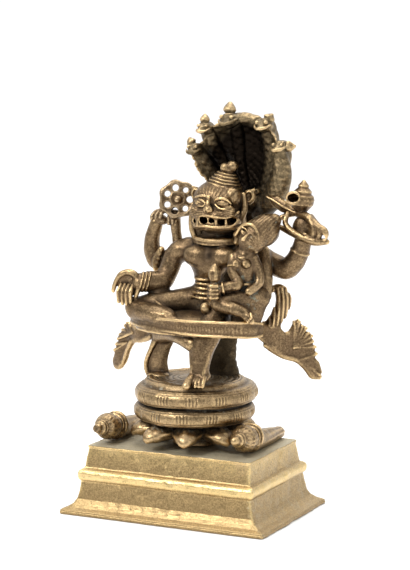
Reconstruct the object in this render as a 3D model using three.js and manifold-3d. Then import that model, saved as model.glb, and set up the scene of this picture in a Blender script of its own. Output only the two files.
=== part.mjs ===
// Narasimha and Lakshmi on the coiled serpent, a small cast brass shrine figure on its stepped plinth.
// Millimetres, +Z up, front of the plinth facing -Y, origin at the middle of the plinth's underside.
// Left and right in names are as the viewer in front sees them.
import * as THREE from "three";
import { mergeVertices } from "three/addons/utils/BufferGeometryUtils.js";
import Module from "manifold-3d";

const wasm = await Module();
wasm.setup();

// Driving dimensions
const HEIGHT = 150; // underside of the plinth to the tip of the middle serpent head's crest
const PLINTH_TOP = 25;
const SEAT_GAP = 0.3; // clearance between the plinth and the figure that stands on it
const PLINTH_STEPS = [
  // height, half width, half depth
  [0, 40.7, 28.3],
  [0.5, 41, 28.6],
  [1.5, 41, 28.6],
  [1.8, 40.4, 28.2],
  [2.6, 38.4, 27.0],
  [3.9, 36.5, 25.9],
  [5.7, 35.2, 25.0],
  [12.1, 34.0, 24.1],
  [12.7, 34.9, 24.5],
  [15.2, 35.1, 24.5],
  [16.4, 34.2, 23.6],
  [16.9, 33.2, 22.6],
  [24.2, 32.4, 21.2],
  [24.4, 32.7, 21.4],
  [PLINTH_TOP, 32.5, 21.2],
];
const PLINTH_CORNER = 1.3;
const BARS = [
  // the two bud-ended bars lie along both sides of the plinth: x, y where the bud starts
  [-28.2, -5.6],
  [25.8, -3],
];
const PETALS = 9;
const PETAL_STEP = 360 / PETALS;
const FIRST_PETAL = -24; // degrees from the front, towards the viewer's right
const SHORT_PETAL = 3; // counted from 0: this petal stops short of the right bar
const SHORT_SHARE = 0.87;
const COIL_X = 0.9; // the coil and its lotus stand a little to the right of the plinth's middle
const COIL_RADIUS = 19.2; // centre line of the two thick coils
const COIL_THICK = 3.45;
const COIL_LOW = 37.8;
const COIL_HIGH = 44.3;
const COIL_TOP = 50;
const BRASS = { colour: 0x9a7b45, roughness: 0.45, metalness: 1 };

const DEG = Math.PI / 180;
const vec = (p) => new THREE.Vector3(p[0], p[1], p[2]);

// Solids: a closed three.js geometry becomes a solid that can be joined and cut.
function solid(geometry) {
  const bare = geometry.clone();
  bare.deleteAttribute("normal");
  bare.deleteAttribute("uv");
  const merged = mergeVertices(bare, 1e-4);
  return new wasm.Manifold(
    new wasm.Mesh({
      numProp: 3,
      vertProperties: new Float32Array(merged.attributes.position.array),
      triVerts: new Uint32Array(merged.index.array),
    }),
  );
}

const join = (parts) => parts.reduce((whole, part) => whole.add(part));

// A casting: the joined forms with metal in any pocket that they close off between them.
function cast(parts) {
  const bodies = join(parts).decompose();
  return wasm.Manifold.compose(bodies.filter((body) => body.volume() > 0));
}

function geometryOf(made) {
  const mesh = made.getMesh();
  return new THREE.BufferGeometry()
    .setAttribute("position", new THREE.BufferAttribute(mesh.vertProperties, 3))
    .setIndex(new THREE.BufferAttribute(mesh.triVerts, 1))
    .toNonIndexed();
}

// A closed skin over rings of points, each ring with the same number of points, and a tip at each end.
function skin(rings, firstTip, lastTip) {
  const n = rings[0].length;
  const points = [firstTip, ...rings.flat(), lastTip];
  const last = points.length - 1;
  const faces = [];
  for (let k = 0; k < n; k++) {
    const next = (k + 1) % n;
    faces.push(0, 1 + next, 1 + k);
    for (let r = 0; r + 1 < rings.length; r++) {
      const low = 1 + r * n;
      const high = low + n;
      faces.push(low + k, low + next, high + next, low + k, high + next, high + k);
    }
    faces.push(last, last - n + k, last - n + next);
  }
  const geometry = new THREE.BufferGeometry().setFromPoints(points);
  geometry.setIndex(faces);
  return solid(geometry);
}

// A limb: round or flattened sections along a smooth curve through the points, with a low point at each end.
// across is the direction of the wider radius, and flat is the thin radius over the wide one.
function limb(points, radii, { sides = 6, steps = 4, flat = 1, across = [0, 0, 1], cap = 0.6 } = {}) {
  const curve = new THREE.CatmullRomCurve3(points.map(vec));
  const spans = radii.length - 1;
  const radiusAt = (t) => {
    const i = Math.min(Math.floor(t * spans), spans - 1);
    return THREE.MathUtils.lerp(radii[i], radii[i + 1], t * spans - i);
  };
  const ring = (t) => {
    const along = curve.getTangent(t);
    const wide = vec(across).addScaledVector(along, -vec(across).dot(along)).normalize();
    const thin = along.clone().cross(wide);
    const r = radiusAt(t);
    const middle = curve.getPoint(t);
    return Array.from({ length: sides }, (_, k) => {
      const a = ((k + 0.5) * 2 * Math.PI) / sides;
      return middle
        .clone()
        .addScaledVector(wide, r * Math.cos(a))
        .addScaledVector(thin, r * flat * Math.sin(a));
    });
  };
  const start = radii[0] * flat * cap;
  const end = radii[spans] * flat * cap;
  const rings = Array.from({ length: steps + 1 }, (_, i) => ring(i / steps));
  const firstTip = curve.getPoint(0).addScaledVector(curve.getTangent(0), -start);
  const lastTip = curve.getPoint(1).addScaledVector(curve.getTangent(1), end);
  return skin(rings, firstTip, lastTip);
}

// An egg: a sphere stretched to three radii, turned by degrees about X, Y and Z, and moved.
function egg(centre, radii, turn = [0, 0, 0], wide = 6, high = 4) {
  const geometry = new THREE.SphereGeometry(1, wide, high);
  geometry.rotateX(Math.PI / 2);
  geometry.scale(...radii);
  geometry.applyMatrix4(
    new THREE.Matrix4().makeRotationFromEuler(new THREE.Euler(...turn.map((a) => a * DEG), "ZYX")),
  );
  geometry.translate(...centre);
  return solid(geometry);
}

// A turned piece: [radius, height] points from the lower end on the axis to the upper end on the axis,
// with its axis leaning from foot towards head.
function turned(profile, foot, head = [foot[0], foot[1], foot[2] + 1], segments = 9) {
  const points = profile.map(([r, h]) => new THREE.Vector2(r, h));
  const geometry = new THREE.LatheGeometry(points, segments);
  const lean = vec(head).sub(vec(foot)).normalize();
  const turn = new THREE.Quaternion().setFromUnitVectors(new THREE.Vector3(0, 1, 0), lean);
  geometry.applyQuaternion(turn);
  geometry.translate(...foot);
  return solid(geometry);
}

// A flat plate: an outline of [distance along, height] in an upright plane through root.
function uprightPlate(outline, root, along, thickness) {
  const shape = new THREE.Shape(outline.map(([s, z]) => new THREE.Vector2(s, z)));
  const geometry = new THREE.ExtrudeGeometry(shape, { depth: thickness, bevelEnabled: false });
  geometry.translate(0, 0, -thickness / 2);
  const x = vec(along).normalize();
  const z = new THREE.Vector3(0, 0, 1);
  const frame = new THREE.Matrix4().makeBasis(x, z, x.clone().cross(z));
  frame.setPosition(root[0], root[1], 0);
  geometry.applyMatrix4(frame);
  return solid(geometry);
}

// Plinth: a flared foot, a plain lower wall, a rounded moulding and a plain upper wall.
function plinthBody() {
  const level = ([z, a, b]) => {
    const points = [];
    for (const [sx, sy, from] of [[1, 1, 0], [-1, 1, 90], [-1, -1, 180], [1, -1, 270]])
      for (const turn of [0, 45, 90]) {
        const angle = (from + turn) * DEG;
        const x = sx * (a - PLINTH_CORNER) + PLINTH_CORNER * Math.cos(angle);
        const y = sy * (b - PLINTH_CORNER) + PLINTH_CORNER * Math.sin(angle);
        points.push(new THREE.Vector3(x, y, z));
      }
    return points;
  };
  return skin(PLINTH_STEPS.map(level), vec([0, 0, 0]), vec([0, 0, PLINTH_TOP]));
}

// A bud-ended bar: knob and ball at the front, a collar, and a tapering rod to the back edge.
function budBar([x, y]) {
  const rod = limb(
    [[x, y - 2.4, 29.1], [x, 7, 28.2], [x, 19.6, 27.3]],
    [4.3, 3.4, 2.5],
    { sides: 8, steps: 2, across: [1, 0, 0], cap: 0.3 },
  );
  const front = turned(
    [[0, 0.4], [4.9, 1.4], [4.9, 2.8], [3.9, 3.6], [5.1, 6.4], [4.8, 9.6], [2, 12.6], [2.7, 13.6], [1.9, 14.8],
      [2.2, 16], [0, 17.8]],
    [x, y, 30.4],
    [x, y - 17, 32],
    9,
  );
  return join([rod, front]);
}

// Lotus: pointed, drooping petals under the coil.
function lotus() {
  const foot = turned(
    [[0, 0], [11, 0], [10.2, 2], [13.6, 7.6], [16, 10.4], [0, 10.4]],
    [COIL_X, 0, PLINTH_TOP + SEAT_GAP],
    undefined,
    9,
  );
  const petals = Array.from({ length: PETALS }, (_, k) => {
    const angle = (FIRST_PETAL + k * PETAL_STEP) * DEG;
    const share = k === SHORT_PETAL ? SHORT_SHARE : 1;
    const out = (r, z) => [COIL_X + r * share * Math.sin(angle), -r * share * Math.cos(angle), z];
    const across = [Math.cos(angle), Math.sin(angle), 0];
    return limb(
      [out(11, 32.5), out(14.8, 32), out(18.4, 31.6), out(21, 30.9), out(22.6, 29.9)],
      [3.9, 5.2, 4.9, 3.3, 1.4],
      { steps: 3, flat: 0.55, across, cap: 0.6 },
    );
  });
  return join([foot, ...petals]);
}

// Coiled serpent: two thick coils, a narrower third one, and a grooved top inside it.
function coil() {
  const rim = (radius, height, thick, from, to, count) =>
    Array.from({ length: count + 1 }, (_, i) => {
      const a = (from + ((to - from) * i) / count) * DEG;
      return [radius + thick * Math.cos(a), height + thick * Math.sin(a)];
    });
  const floor = PLINTH_TOP + SEAT_GAP;
  const profile = [
    [0, COIL_LOW - COIL_THICK + 1],
    [14, COIL_LOW - COIL_THICK + 0.6],
    ...rim(COIL_RADIUS, COIL_LOW, COIL_THICK, -80, 64, 3),
    ...rim(COIL_RADIUS, COIL_HIGH, COIL_THICK, -64, 76, 3),
    ...rim(16.6, 47.3, 2.9, 0, 100, 2),
    [14.4, 49.2],
    [12.8, COIL_TOP],
    [0, COIL_TOP],
  ].map(([r, z]) => [r, z - floor]);
  return turned(profile, [COIL_X, 0, floor], undefined, 24);
}

// Serpent's neck rising behind the seat to the hood.
function serpentNeck() {
  return limb(
    [[5.5, 11.5, 47.5], [5.5, 12, 54], [6.2, 12.5, 64], [8.5, 13.5, 78], [12, 14.6, 92], [15.2, 15.2, 104], [17.4, 14.6, 114]],
    [8.6, 6, 5.9, 5.6, 5, 4.6, 5],
    { steps: 7, flat: 0.55, across: [1, 0, 0] },
  );
}

// Hood: a cupped shell with grooves that fan out from the neck, and five crested heads on its rim.
const HOOD = [14.6, 129.6];
const HOOD_RIM = [
  // degrees clockwise from the top, radius, how far back the rim lies
  [-180, 17.5, 13],
  [-150, 16.2, 11],
  [-125, 16, 8.2],
  [-106, 17, 6],
  [-90, 17.8, 5],
  [-75, 16.5, 5.6],
  [-64, 15, 7],
  [-50, 15.6, 8],
  [-30, 15.4, 8.6],
  [-8, 16.4, 9],
  [12, 16.2, 9.6],
  [30, 15.4, 9.8],
  [48, 15.6, 9.4],
  [66, 16, 8.4],
  [82, 18.2, 7.2],
  [98, 19.6, 6.6],
  [116, 19, 7],
  [136, 17.6, 8.6],
  [158, 17.4, 11.4],
];
const HOOD_DEPTH = 9;
const HOOD_THICK = 2.4;
const HOOD_HEADS = [
  // head, tip of its crest, size
  [[-2.0, 5.4, 132.2], [-4.6, 6.4, 136.8], 1],
  [[1.2, 7.2, 139.8], [0.8, 8.6, 145.6], 1],
  [[10.9, 7.4, 143.0], [10.4, 9.4, HEIGHT], 1.25],
  [[24.2, 8.2, 141.4], [27.0, 10.2, 146.0], 1.1],
  [[30.8, 7.2, 133.9], [36.9, 8.2, 134.6], 1.05],
];

function hoodShell() {
  const count = HOOD_RIM.length * 2;
  const reach = [0.42, 0.8, 1];
  const rim = (k) => {
    const at = HOOD_RIM[Math.floor(k / 2)];
    if (k % 2 === 0) return at;
    const next = HOOD_RIM[(Math.floor(k / 2) + 1) % HOOD_RIM.length];
    const turn = next[0] < at[0] ? 360 : 0;
    return [(at[0] + next[0] + turn) / 2, (at[1] + next[1]) / 2, (at[2] + next[2]) / 2];
  };
  const surface = (share, back) =>
    Array.from({ length: count }, (_, k) => {
      const [degrees, radius, rimBack] = rim(k);
      const x = HOOD[0] + share * radius * Math.sin(degrees * DEG);
      const z = HOOD[1] + share * radius * Math.cos(degrees * DEG);
      const rib = back || share === 1 ? 0 : (k % 2) * 0.8;
      const cup = HOOD_DEPTH * (1 - share ** 2.4);
      return new THREE.Vector3(x, rimBack + cup + back * HOOD_THICK * (share === 1 ? 0.75 : 1) + rib, z);
    });
  const rings = [
    ...reach.map((share) => surface(share, 0)),
    ...reach.map((share) => surface(share, 1)).reverse(),
  ];
  const deep = 8 + HOOD_DEPTH;
  return skin(
    rings,
    vec([HOOD[0], deep, HOOD[1]]),
    vec([HOOD[0], deep + HOOD_THICK, HOOD[1]]),
  );
}

function hood() {
  const heads = HOOD_HEADS.map(([head, tip, size]) => {
    const length = vec(tip).distanceTo(vec(head));
    const profile = [[0, -2.6], [2.5, -1.4], [2.8, 0.6], [1.6, 2.3], [2.1, 3.4], [0.9, 5]];
    return turned([...profile.map(([r, h]) => [r * size, h * size]), [0, length]], head, tip, 7);
  });
  return join([hoodShell(), ...heads]);
}

// Seat: an oval board with an upright strap round its front, on a curved leg at the left.
const STRAP = [
  // x, y, middle height, half height
  [-23.6, -3, 70.4, 1.8],
  [-19.6, -7, 70.4, 1.9],
  [-12, -11.2, 70.4, 2.1],
  [0.2, -14.8, 70.5, 2.4],
  [11, -16, 70.5, 2.7],
  [21.5, -14.6, 70.7, 2.75],
  [27, -10, 70.3, 2.9],
  [28.6, -3.5, 69.6, 2.3],
];

function seat() {
  const board = new THREE.Shape();
  board.absellipse(3, -2, 25, 13.4, 0, 2 * Math.PI);
  const geometry = new THREE.ExtrudeGeometry(board, { depth: 2.4, bevelEnabled: false, curveSegments: 10 });
  geometry.translate(0, 0, 66.9);
  const strap = limb(
    STRAP.map(([x, y, z]) => [x, y, z]),
    STRAP.map((row) => row[3] * 1.12),
    { sides: 6, steps: 12, flat: 0.4, cap: 0 },
  );
  const bracket = limb([[-12.6, -1, 64.2], [-6, -6.6, 65.6], [0.4, -11, 65.6], [6, -13.4, 64]], [3.2, 2.5, 2.5, 3]);
  const leg = limb([[-11.4, 1, 66], [-13.4, 0, 60], [-14.6, -0.4, 54], [-14, 0.4, 47.6]], [4.6, 4.1, 4.1, 4.4], {
    steps: 3,
    flat: 0.6,
    across: [1, 0, 0],
  });
  const legRim = limb([[-11, -2, 67], [-15.6, -2.5, 59.5], [-18.2, -2.4, 52.6], [-16, -2, 46.8]], [1.1, 1.2, 1.2, 1.1], {
    sides: 5,
  });
  return join([solid(geometry), strap, bracket, leg, legRim]);
}

// Sash ends: two frilled tails that sweep out and back, and the pleated loop on the right hip.
const RIGHT_TAIL = [
  [-3, 65.6], [0.3, 62.9], [3.7, 60.2], [7.5, 58.1], [11.7, 56.8], [14.7, 54.5], [15.9, 52.9], [17.8, 50.3],
  [20.5, 49.8], [21.7, 51.9], [20.5, 55.7], [18.7, 57.6], [19.6, 58.8], [18.6, 60.2], [19.2, 61.6], [17.9, 62.6],
  [18.3, 64.2], [16.9, 65], [16.9, 66.9], [15.4, 67.4], [15.2, 69.3], [13.8, 69.7], [12.6, 72], [10.8, 70.8],
  [8.9, 67.6], [7.4, 67.2], [5.9, 68.6], [5.3, 71.4], [-1, 71.6],
];
const LEFT_TAIL = [
  [-2, 65.6], [1.6, 62.8], [8, 60.8], [13.8, 59.6], [17, 56], [19.2, 51.9], [22.2, 48.5], [25.4, 47.8],
  [26.9, 50.2], [25.3, 53.2], [25.6, 55], [24, 56], [24.4, 57.8], [22.8, 58.8], [23, 60.6], [21.2, 61.4],
  [21.2, 63.4], [19.4, 63.8], [18.8, 65.9], [16.1, 66.9], [14, 65.6], [6, 65.8], [0, 67],
];

function sash() {
  const right = uprightPlate(RIGHT_TAIL, [27.5, 3], [0.75, 0.66, 0], 1.9);
  const left = uprightPlate(LEFT_TAIL, [-16, 0], [-0.88, 0.47, 0], 1.9);
  const folds = [];
  for (const [root, along, s, z, tipS, tipZ] of [
    [[27.5, 3], [0.75, 0.66], 10.5, 62.5, 12.4, 70.6],
    [[27.5, 3], [0.75, 0.66], 12.5, 60.3, 17.6, 61.8],
    [[27.5, 3], [0.75, 0.66], 12.6, 57.6, 20.4, 51.8],
    [[-16, 0], [-0.88, 0.47], 15.5, 60, 18.8, 64.6],
    [[-16, 0], [-0.88, 0.47], 18.6, 54.4, 24.6, 50.6],
  ]) {
    const at = (d, h) => [root[0] + along[0] * d, root[1] + along[1] * d, h];
    folds.push(limb([at(s, z), at(tipS, tipZ)], [0.9, 1.5], { steps: 1, sides: 5 }));
  }
  const loop = limb(
    [[28.6, 5.4, 83.6], [31.6, 6, 83.4], [33.2, 6, 80], [32.4, 5.6, 75.4], [29.6, 4.6, 70.6]],
    [1.6, 2.4, 2.9, 2.9, 2.6],
    { steps: 6, sides: 6, flat: 0.8, across: [0.75, 0.66, 0] },
  );
  const strip = limb([[27.2, 0.6, 81], [27.4, -0.6, 72]], [1.2, 1.2], { steps: 1, sides: 5 });
  return join([right, left, ...folds, loop, strip]);
}

// Legs: the right one folded on the seat, the left one hanging to the coil, with a clawed foot.
function legs() {
  const thigh = limb([[1, 4, 78], [-7, -0.6, 77.2], [-14, -4, 76.8], [-19, -5.6, 76]], [5.2, 4, 3.8, 3.6], {
    sides: 8,
  });
  const shin = limb([[-19.4, -6.2, 75.4], [-10, -9.8, 73.8], [1, -12.4, 70.8]], [3.7, 3.6, 2.6], { steps: 3 });
  const cloth = limb([[-20, -6.6, 73.4], [-12, -9.6, 72.6], [-2, -12.6, 70.4]], [3, 2.6, 2], { steps: 2, sides: 6 });
  const leftThigh = limb([[8, 4, 78], [12, -5, 76], [11, -13, 70]], [5.2, 4.8, 4.4], { steps: 3 });
  const shank = limb(
    [[10.8, -13.6, 68.6], [9.8, -13.8, 63], [9.6, -13.8, 57.5], [9.8, -14.2, 52.6]],
    [5.6, 4.7, 3.8, 3.4],
    { sides: 8, flat: 0.8, across: [1, 0, 0] },
  );
  const foot = limb([[10.2, -13.4, 52], [10, -17.2, 50.6]], [3.4, 3], { steps: 1, across: [1, 0, 0], flat: 0.7 });
  const toes = [-2.4, 0.4, 2.8].map((dx, i) =>
    limb([[10 + dx, -16.4, 51], [9.8 + dx * 1.05, -19.2 + i * 0.35, 49.6]], [1.3 - i * 0.12, 1 - i * 0.1], {
      steps: 1,
      sides: 5,
    }),
  );
  return join([thigh, shin, cloth, leftThigh, shank, foot, ...toes]);
}

// Narasimha's trunk: hips, narrow waist, broad chest with a pendant, and a short neck.
function trunk() {
  const sections = [
    // height, middle x and y, half width, half depth
    [75, 4, 4.4, 9, 6.6],
    [78.4, 4.2, 4.2, 8.4, 6],
    [81.6, 4.2, 4, 5.8, 4.6],
    [84.4, 4.2, 3.8, 4.6, 4],
    [88, 5, 3.4, 6.2, 4.8],
    [92, 5.8, 3, 8.8, 5.4],
    [95.4, 6.4, 3.4, 10.8, 5.2],
    [98, 6.8, 4, 9.4, 4.6],
    [99.6, 7, 4, 5.6, 4.2],
    [104, 8, 3.4, 5.4, 4.4],
  ];
  const rings = sections.map(([z, x, y, a, b]) =>
    Array.from({ length: 8 }, (_, k) => {
      const t = ((k + 0.5) * 2 * Math.PI) / 8;
      return new THREE.Vector3(x + a * Math.cos(t), y + b * Math.sin(t), z);
    }),
  );
  return join([
    skin(rings, vec([4, 4.4, 75]), vec([8, 3.4, 104])),
    egg([1.4, -0.8, 93.6], [4.6, 2.8, 3.2]),
    egg([11.6, -0.8, 94], [4.6, 2.8, 3.2]),
    egg([6.8, -3, 95.8], [1.8, 1.1, 1.8], [0, 0, 0], 5, 4),
    limb([[-0.4, 1.4, 98.6], [3, -1, 98], [7, -1.9, 97.6], [11, -1, 98], [14.4, 1.4, 98.6]], [1, 1.1, 1.2, 1.1, 1], {
      sides: 5,
      steps: 4,
    }),
  ]);
}

// Lion head: domed brow, round eyes, broad nose, open mouth with tooth gaps, ears, side locks and crown.
const FACE = [8.6, 110.5];

function lionHead() {
  const [fx, fz] = FACE;
  const skull = join([
    egg([fx + 0.6, 2, fz + 1.8], [8.8, 7.9, 8.3], [0, 0, 0], 9, 6),
    egg([fx, -2.2, fz - 0.4], [8.3, 4.5, 3.7], [0, 0, 0], 9, 4),
    egg([fx, -0.8, fz - 5.4], [8.8, 5.1, 4], [0, 0, 0], 9, 4),
    egg([fx, -4.2, fz + 4.2], [6.5, 3, 2.6]),
  ]);
  const gaps = [-6.2, -3.2, -0.4, 2.6, 6].map((dx) =>
    egg([fx + dx, -5.6 + dx ** 2 * 0.05, fz - 3.4], [1.25, 2.6, 1.4], [0, 0, 0], 5, 3),
  );
  const features = [
    egg([fx + 0.4, -6.4, fz + 1.6], [2.7, 1.6, 1.7]),
    egg([fx - 3.9, -4.6, fz + 3.6], [2.3, 1.9, 1.6]),
    egg([fx + 5.2, -4.4, fz + 3.8], [2.6, 1.9, 1.7]),
    egg([fx + 10.4, 3.6, fz + 5.6], [2.8, 1.6, 2.9], [0, 12, 0]),
    egg([fx - 7.6, 4.2, fz + 5.6], [2, 1.6, 2.7], [0, -12, 0]),
    limb([[fx - 8, -0.6, fz - 2.4], [fx - 4.6, -5.4, fz - 5.2], [fx, -6.4, fz - 5.5], [fx + 4.8, -5.2, fz - 5.2],
      [fx + 8.4, -0.6, fz - 2.4]], [1, 1.1, 1.1, 1.1, 1], { sides: 5, steps: 5 }),
    limb([[fx - 8.2, 2, fz + 1], [fx - 9, 1.6, fz - 4], [fx - 8.6, 1.6, fz - 9], [fx - 7.4, 2.6, fz - 12]],
      [1.6, 1.7, 1.6, 1.6], { sides: 5, steps: 2 }),
    limb([[fx + 9, 2, fz + 5], [fx + 9.8, 2, fz - 1], [fx + 9.4, 2.4, fz - 7], [fx + 8, 3, fz - 12]],
      [1.8, 1.9, 1.8, 1.8], { sides: 5, steps: 2 }),
  ];
  const crown = turned(
    [[0, -3], [6.6, -3], [6.9, 0.4], [5.6, 1.4], [5.8, 2.6], [4.7, 3.5], [4.9, 4.8], [3.7, 5.6], [3, 6.9], [3.1, 8.6],
      [1.4, 10.5], [0, 10.7]],
    [fx + 2, 3.6, fz + 8.2],
    [fx + 4, 3.9, fz + 18.4],
    9,
  );
  return join([skull.subtract(join(gaps)), ...features, crown]);
}

// Arms on the left: the front hand droops over the knee, the back hand holds up the pierced discus.
function leftArms() {
  const front = limb(
    [[-2.6, 4, 96], [-7.8, 3.4, 93], [-10.4, 1.4, 86.6], [-12, -0.8, 84], [-16, -3.6, 84.2], [-20.4, -6, 84]],
    [4, 3.6, 3.5, 3.6, 3.4, 3],
    { steps: 6, across: [0, 1, 0] },
  );
  const bangle = limb([[-20.4, -6, 84], [-21.6, -6.6, 84]], [3.7, 3.7], { steps: 1, sides: 8, cap: 0.25 });
  const hand = egg([-24, -8, 82.6], [3.6, 2.8, 3.8], [0, 20, 25]);
  const fingers = [0, 1, 2].map((i) =>
    limb([[-26 + i * 2.1, -9 - i * 0.5, 81.6], [-24.9 + i * 1.6, -10.2 - i * 0.4, 77.4]], [1.6, 1.2], {
      sides: 5,
      steps: 1,
    }),
  );
  const rest = limb([[-13, -2.6, 81.4], [-12.4, -3, 78.6]], [1.6, 1.6], { steps: 1, sides: 5 });
  const back = limb(
    [[-4, 5.6, 96.4], [-11, 7, 92.6], [-17.6, 7.4, 90], [-20.2, 7.2, 93.4], [-20.4, 7, 98.6], [-18.2, 6.4, 104.6]],
    [3.6, 3.4, 3.2, 2.9, 2.6, 2.4],
    { steps: 7, across: [0, 1, 0] },
  );
  const grip = egg([-16.4, 6.4, 106.4], [3.2, 2.6, 1.9], [0, 10, 0]);
  const strut = limb([[-9.6, 7.4, 95.4], [-10.8, 8, 101], [-11.6, 8.4, 107.6]], [2.1, 1.9, 2.2], { steps: 2, sides: 6 });
  return join([front, bangle, hand, ...fingers, rest, back, grip, strut, discus()]);
}

const DISCUS = { centre: [-10.1, 8, 113.6], radius: 7.2, thick: 2.4, turn: 20, lean: -12 };

function discus() {
  const { centre, radius, thick, turn, lean } = DISCUS;
  const shape = new THREE.Shape();
  for (let k = 0; k < 14; k++) {
    const a = (k * Math.PI) / 7;
    const r = radius * (k % 2 ? 0.95 : 1.06);
    const point = [r * Math.cos(a), r * Math.sin(a)];
    if (k === 0) shape.moveTo(...point);
    else shape.lineTo(...point);
  }
  for (let k = 0; k < 7; k++) {
    const hole = new THREE.Path();
    const x = 4.5 * Math.cos((k * 2 * Math.PI) / 7);
    const y = 4.5 * Math.sin((k * 2 * Math.PI) / 7);
    hole.absarc(x, y, 1.35, 0, 2 * Math.PI, true);
    shape.holes.push(hole);
  }
  const plate = new THREE.ExtrudeGeometry(shape, { depth: thick, bevelEnabled: false, curveSegments: 2 });
  plate.translate(0, 0, -thick / 2);
  plate.rotateX((90 + lean) * DEG);
  plate.rotateZ(turn * DEG);
  plate.translate(...centre);
  return join([solid(plate), egg([centre[0] + 0.6, centre[1] - 0.4, centre[2]], [2, 2.2, 2])]);
}

// Arms on the right: the back hand holds up the conch, the front arm comes down behind Lakshmi.
function rightArms() {
  const back = limb(
    [[16, 5.6, 96.6], [22, 6.6, 95.6], [28, 7.4, 92.2], [33.4, 7.2, 90.6], [37.2, 6.6, 93.2], [39.6, 6.2, 97.6],
      [41, 6, 102]],
    [4, 3.8, 3.9, 4, 3.7, 3.4, 3],
    { steps: 7, across: [0, 1, 0] },
  );
  const palm = egg([40.6, 6, 106.4], [4.2, 2.8, 4.4]);
  const lip = limb(
    [[31.2, 5, 106], [36, 3.6, 104.6], [41.4, 2, 103.2], [47, 1.6, 101.6], [51.2, 2.2, 101.6]],
    [1, 1.5, 1.9, 1.8, 1.5],
    { steps: 5, sides: 6 },
  );
  const fingers = [0, 1, 2].map((i) =>
    limb(
      [[39.4 + i * 2.4, 5.6, 110.4 - i * 0.4], [44.5 + i * 1.6, 3.1 - i * 0.3, 109.6 - i * 1.1],
        [47.2 + i * 1.9, 1.5, 106 - i * 0.3], [45.6 + i * 2.5, 1.9, 101.9 + i * 0.2]],
      [1.7, 1.7, 1.6, 1.3],
      { steps: 3, sides: 5 },
    ),
  );
  const stalk = limb([[29.4, 5, 107], [33, 6, 109.4], [38, 6, 111]], [1.4, 1.2, 1.5], { sides: 5, steps: 2 });
  const leaf = limb([[26.4, 7, 116.2], [29.4, 6.6, 115], [33, 6.2, 113], [37.4, 6, 111.4]], [0.5, 2.2, 2.3, 1], {
    flat: 0.5,
    steps: 4,
    sides: 6,
    across: [0.5, 0, 1],
  });
  const front = limb([[21, 5, 96], [25.6, 4.2, 96.2], [27, 3.2, 90], [28, 1, 81]], [3, 2.8, 2.7, 2.4], {
    across: [0, 1, 0],
  });
  return join([back, palm, lip, ...fingers, stalk, leaf, front, conch()]);
}

function conch() {
  const shell = turned(
    [[0, 0], [1.6, 0], [2.2, 1], [4.1, 2.8], [4.1, 6], [3.1, 7], [3.1, 8], [2, 9], [1.7, 10.2], [0, 11.7]],
    [40, 6, 111.4],
    [40.8, 6, 123.1],
    8,
  );
  const lipRing = egg([38.2, 3.6, 116.4], [3, 2.2, 2.7], [0, 0, 0], 7, 4);
  const mouth = egg([38.4, 1.8, 116.6], [1.9, 2.6, 1.6], [0, 0, 0], 7, 4);
  return join([shell, lipRing]).subtract(mouth);
}

// Lakshmi on the left thigh, head leaning outward, a lotus bud upright in her hand.
function lakshmi() {
  const body = join([
    egg([23.6, -3, 81.4], [6.6, 5.6, 4.4]),
    limb([[23.6, -4, 82], [23, -5, 87], [22.8, -5.4, 92], [23, -5.2, 95.6]], [4.6, 3.7, 4.7, 4.4], {
      sides: 8,
      flat: 0.8,
      across: [1, 0, 0],
    }),
    limb([[23.2, -5, 95], [24.4, -4.8, 99]], [2.6, 2.6], { steps: 1 }),
    egg([21.2, -8.4, 93.4], [1.8, 1.6, 1.8]),
    egg([24.8, -8, 93.6], [1.8, 1.6, 1.8]),
  ]);
  const lap = join([
    limb([[27.4, -2, 80.8], [22, -8, 80.4], [16.4, -11.4, 79.6]], [4, 3.8, 3.4], { steps: 3 }),
    limb([[16.6, -11.8, 78.8], [22, -12.6, 78], [25.6, -12.2, 76.8]], [3, 2.5, 2], { steps: 2, sides: 6 }),
    limb([[24.6, -12, 77.2], [27.4, -12.8, 75.2], [29.2, -13, 73.6]], [1.9, 1.8, 1.5], { steps: 2, sides: 6, flat: 0.8 }),
    limb([[24, -3, 78], [23, -6, 70]], [6, 5], { steps: 1 }),
  ]);
  const arms = join([
    limb([[19.4, -6.6, 95.4], [19.8, -8.6, 91], [22.6, -9.8, 86], [19.6, -12.4, 85.4], [16, -13.8, 84.6]],
      [2, 1.9, 2, 1.9, 1.7], { steps: 6, across: [0, 1, 0] }),
    egg([15.4, -14, 84.4], [2.8, 2.6, 3.5]),
    turned([[0, 0], [1.3, 0], [1.6, 1], [2.4, 2.6], [2.3, 4.6], [1.3, 6.4], [0, 7.2]], [15.5, -14, 86], undefined, 6),
  ]);
  const lean = [-10, 34, 0];
  const head = join([
    egg([26.6, -4, 103.2], [5.6, 5.4, 7.6], lean, 8, 7),
    egg([29, -1.4, 105], [5.6, 5.2, 6.2], lean, 8, 6),
    egg([32.2, 0, 108.6], [2.6, 2.6, 2.3], lean),
    egg([24.4, -9, 102.6], [0.9, 1.3, 1.5], lean, 5, 4),
    limb([[30.6, 1, 108], [29.6, 4, 107]], [1.5, 1.5], { steps: 1, sides: 5 }),
  ]);
  return join([body, lap, arms, head]);
}

function mesh(name, made) {
  const geometry = geometryOf(made);
  geometry.computeVertexNormals();
  const material = new THREE.MeshStandardMaterial({
    color: BRASS.colour,
    roughness: BRASS.roughness,
    metalness: BRASS.metalness,
  });
  const piece = new THREE.Mesh(geometry, material);
  piece.name = name;
  return piece;
}

const part = new THREE.Group();
part.add(mesh("plinth", cast([plinthBody(), ...BARS.map(budBar)])));
part.add(
  mesh(
    "narasimha_group",
    cast([
      lotus(),
      coil(),
      serpentNeck(),
      hood(),
      seat(),
      sash(),
      legs(),
      trunk(),
      lionHead(),
      leftArms(),
      rightArms(),
      lakshmi(),
    ]),
  ),
);

export default part;
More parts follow.
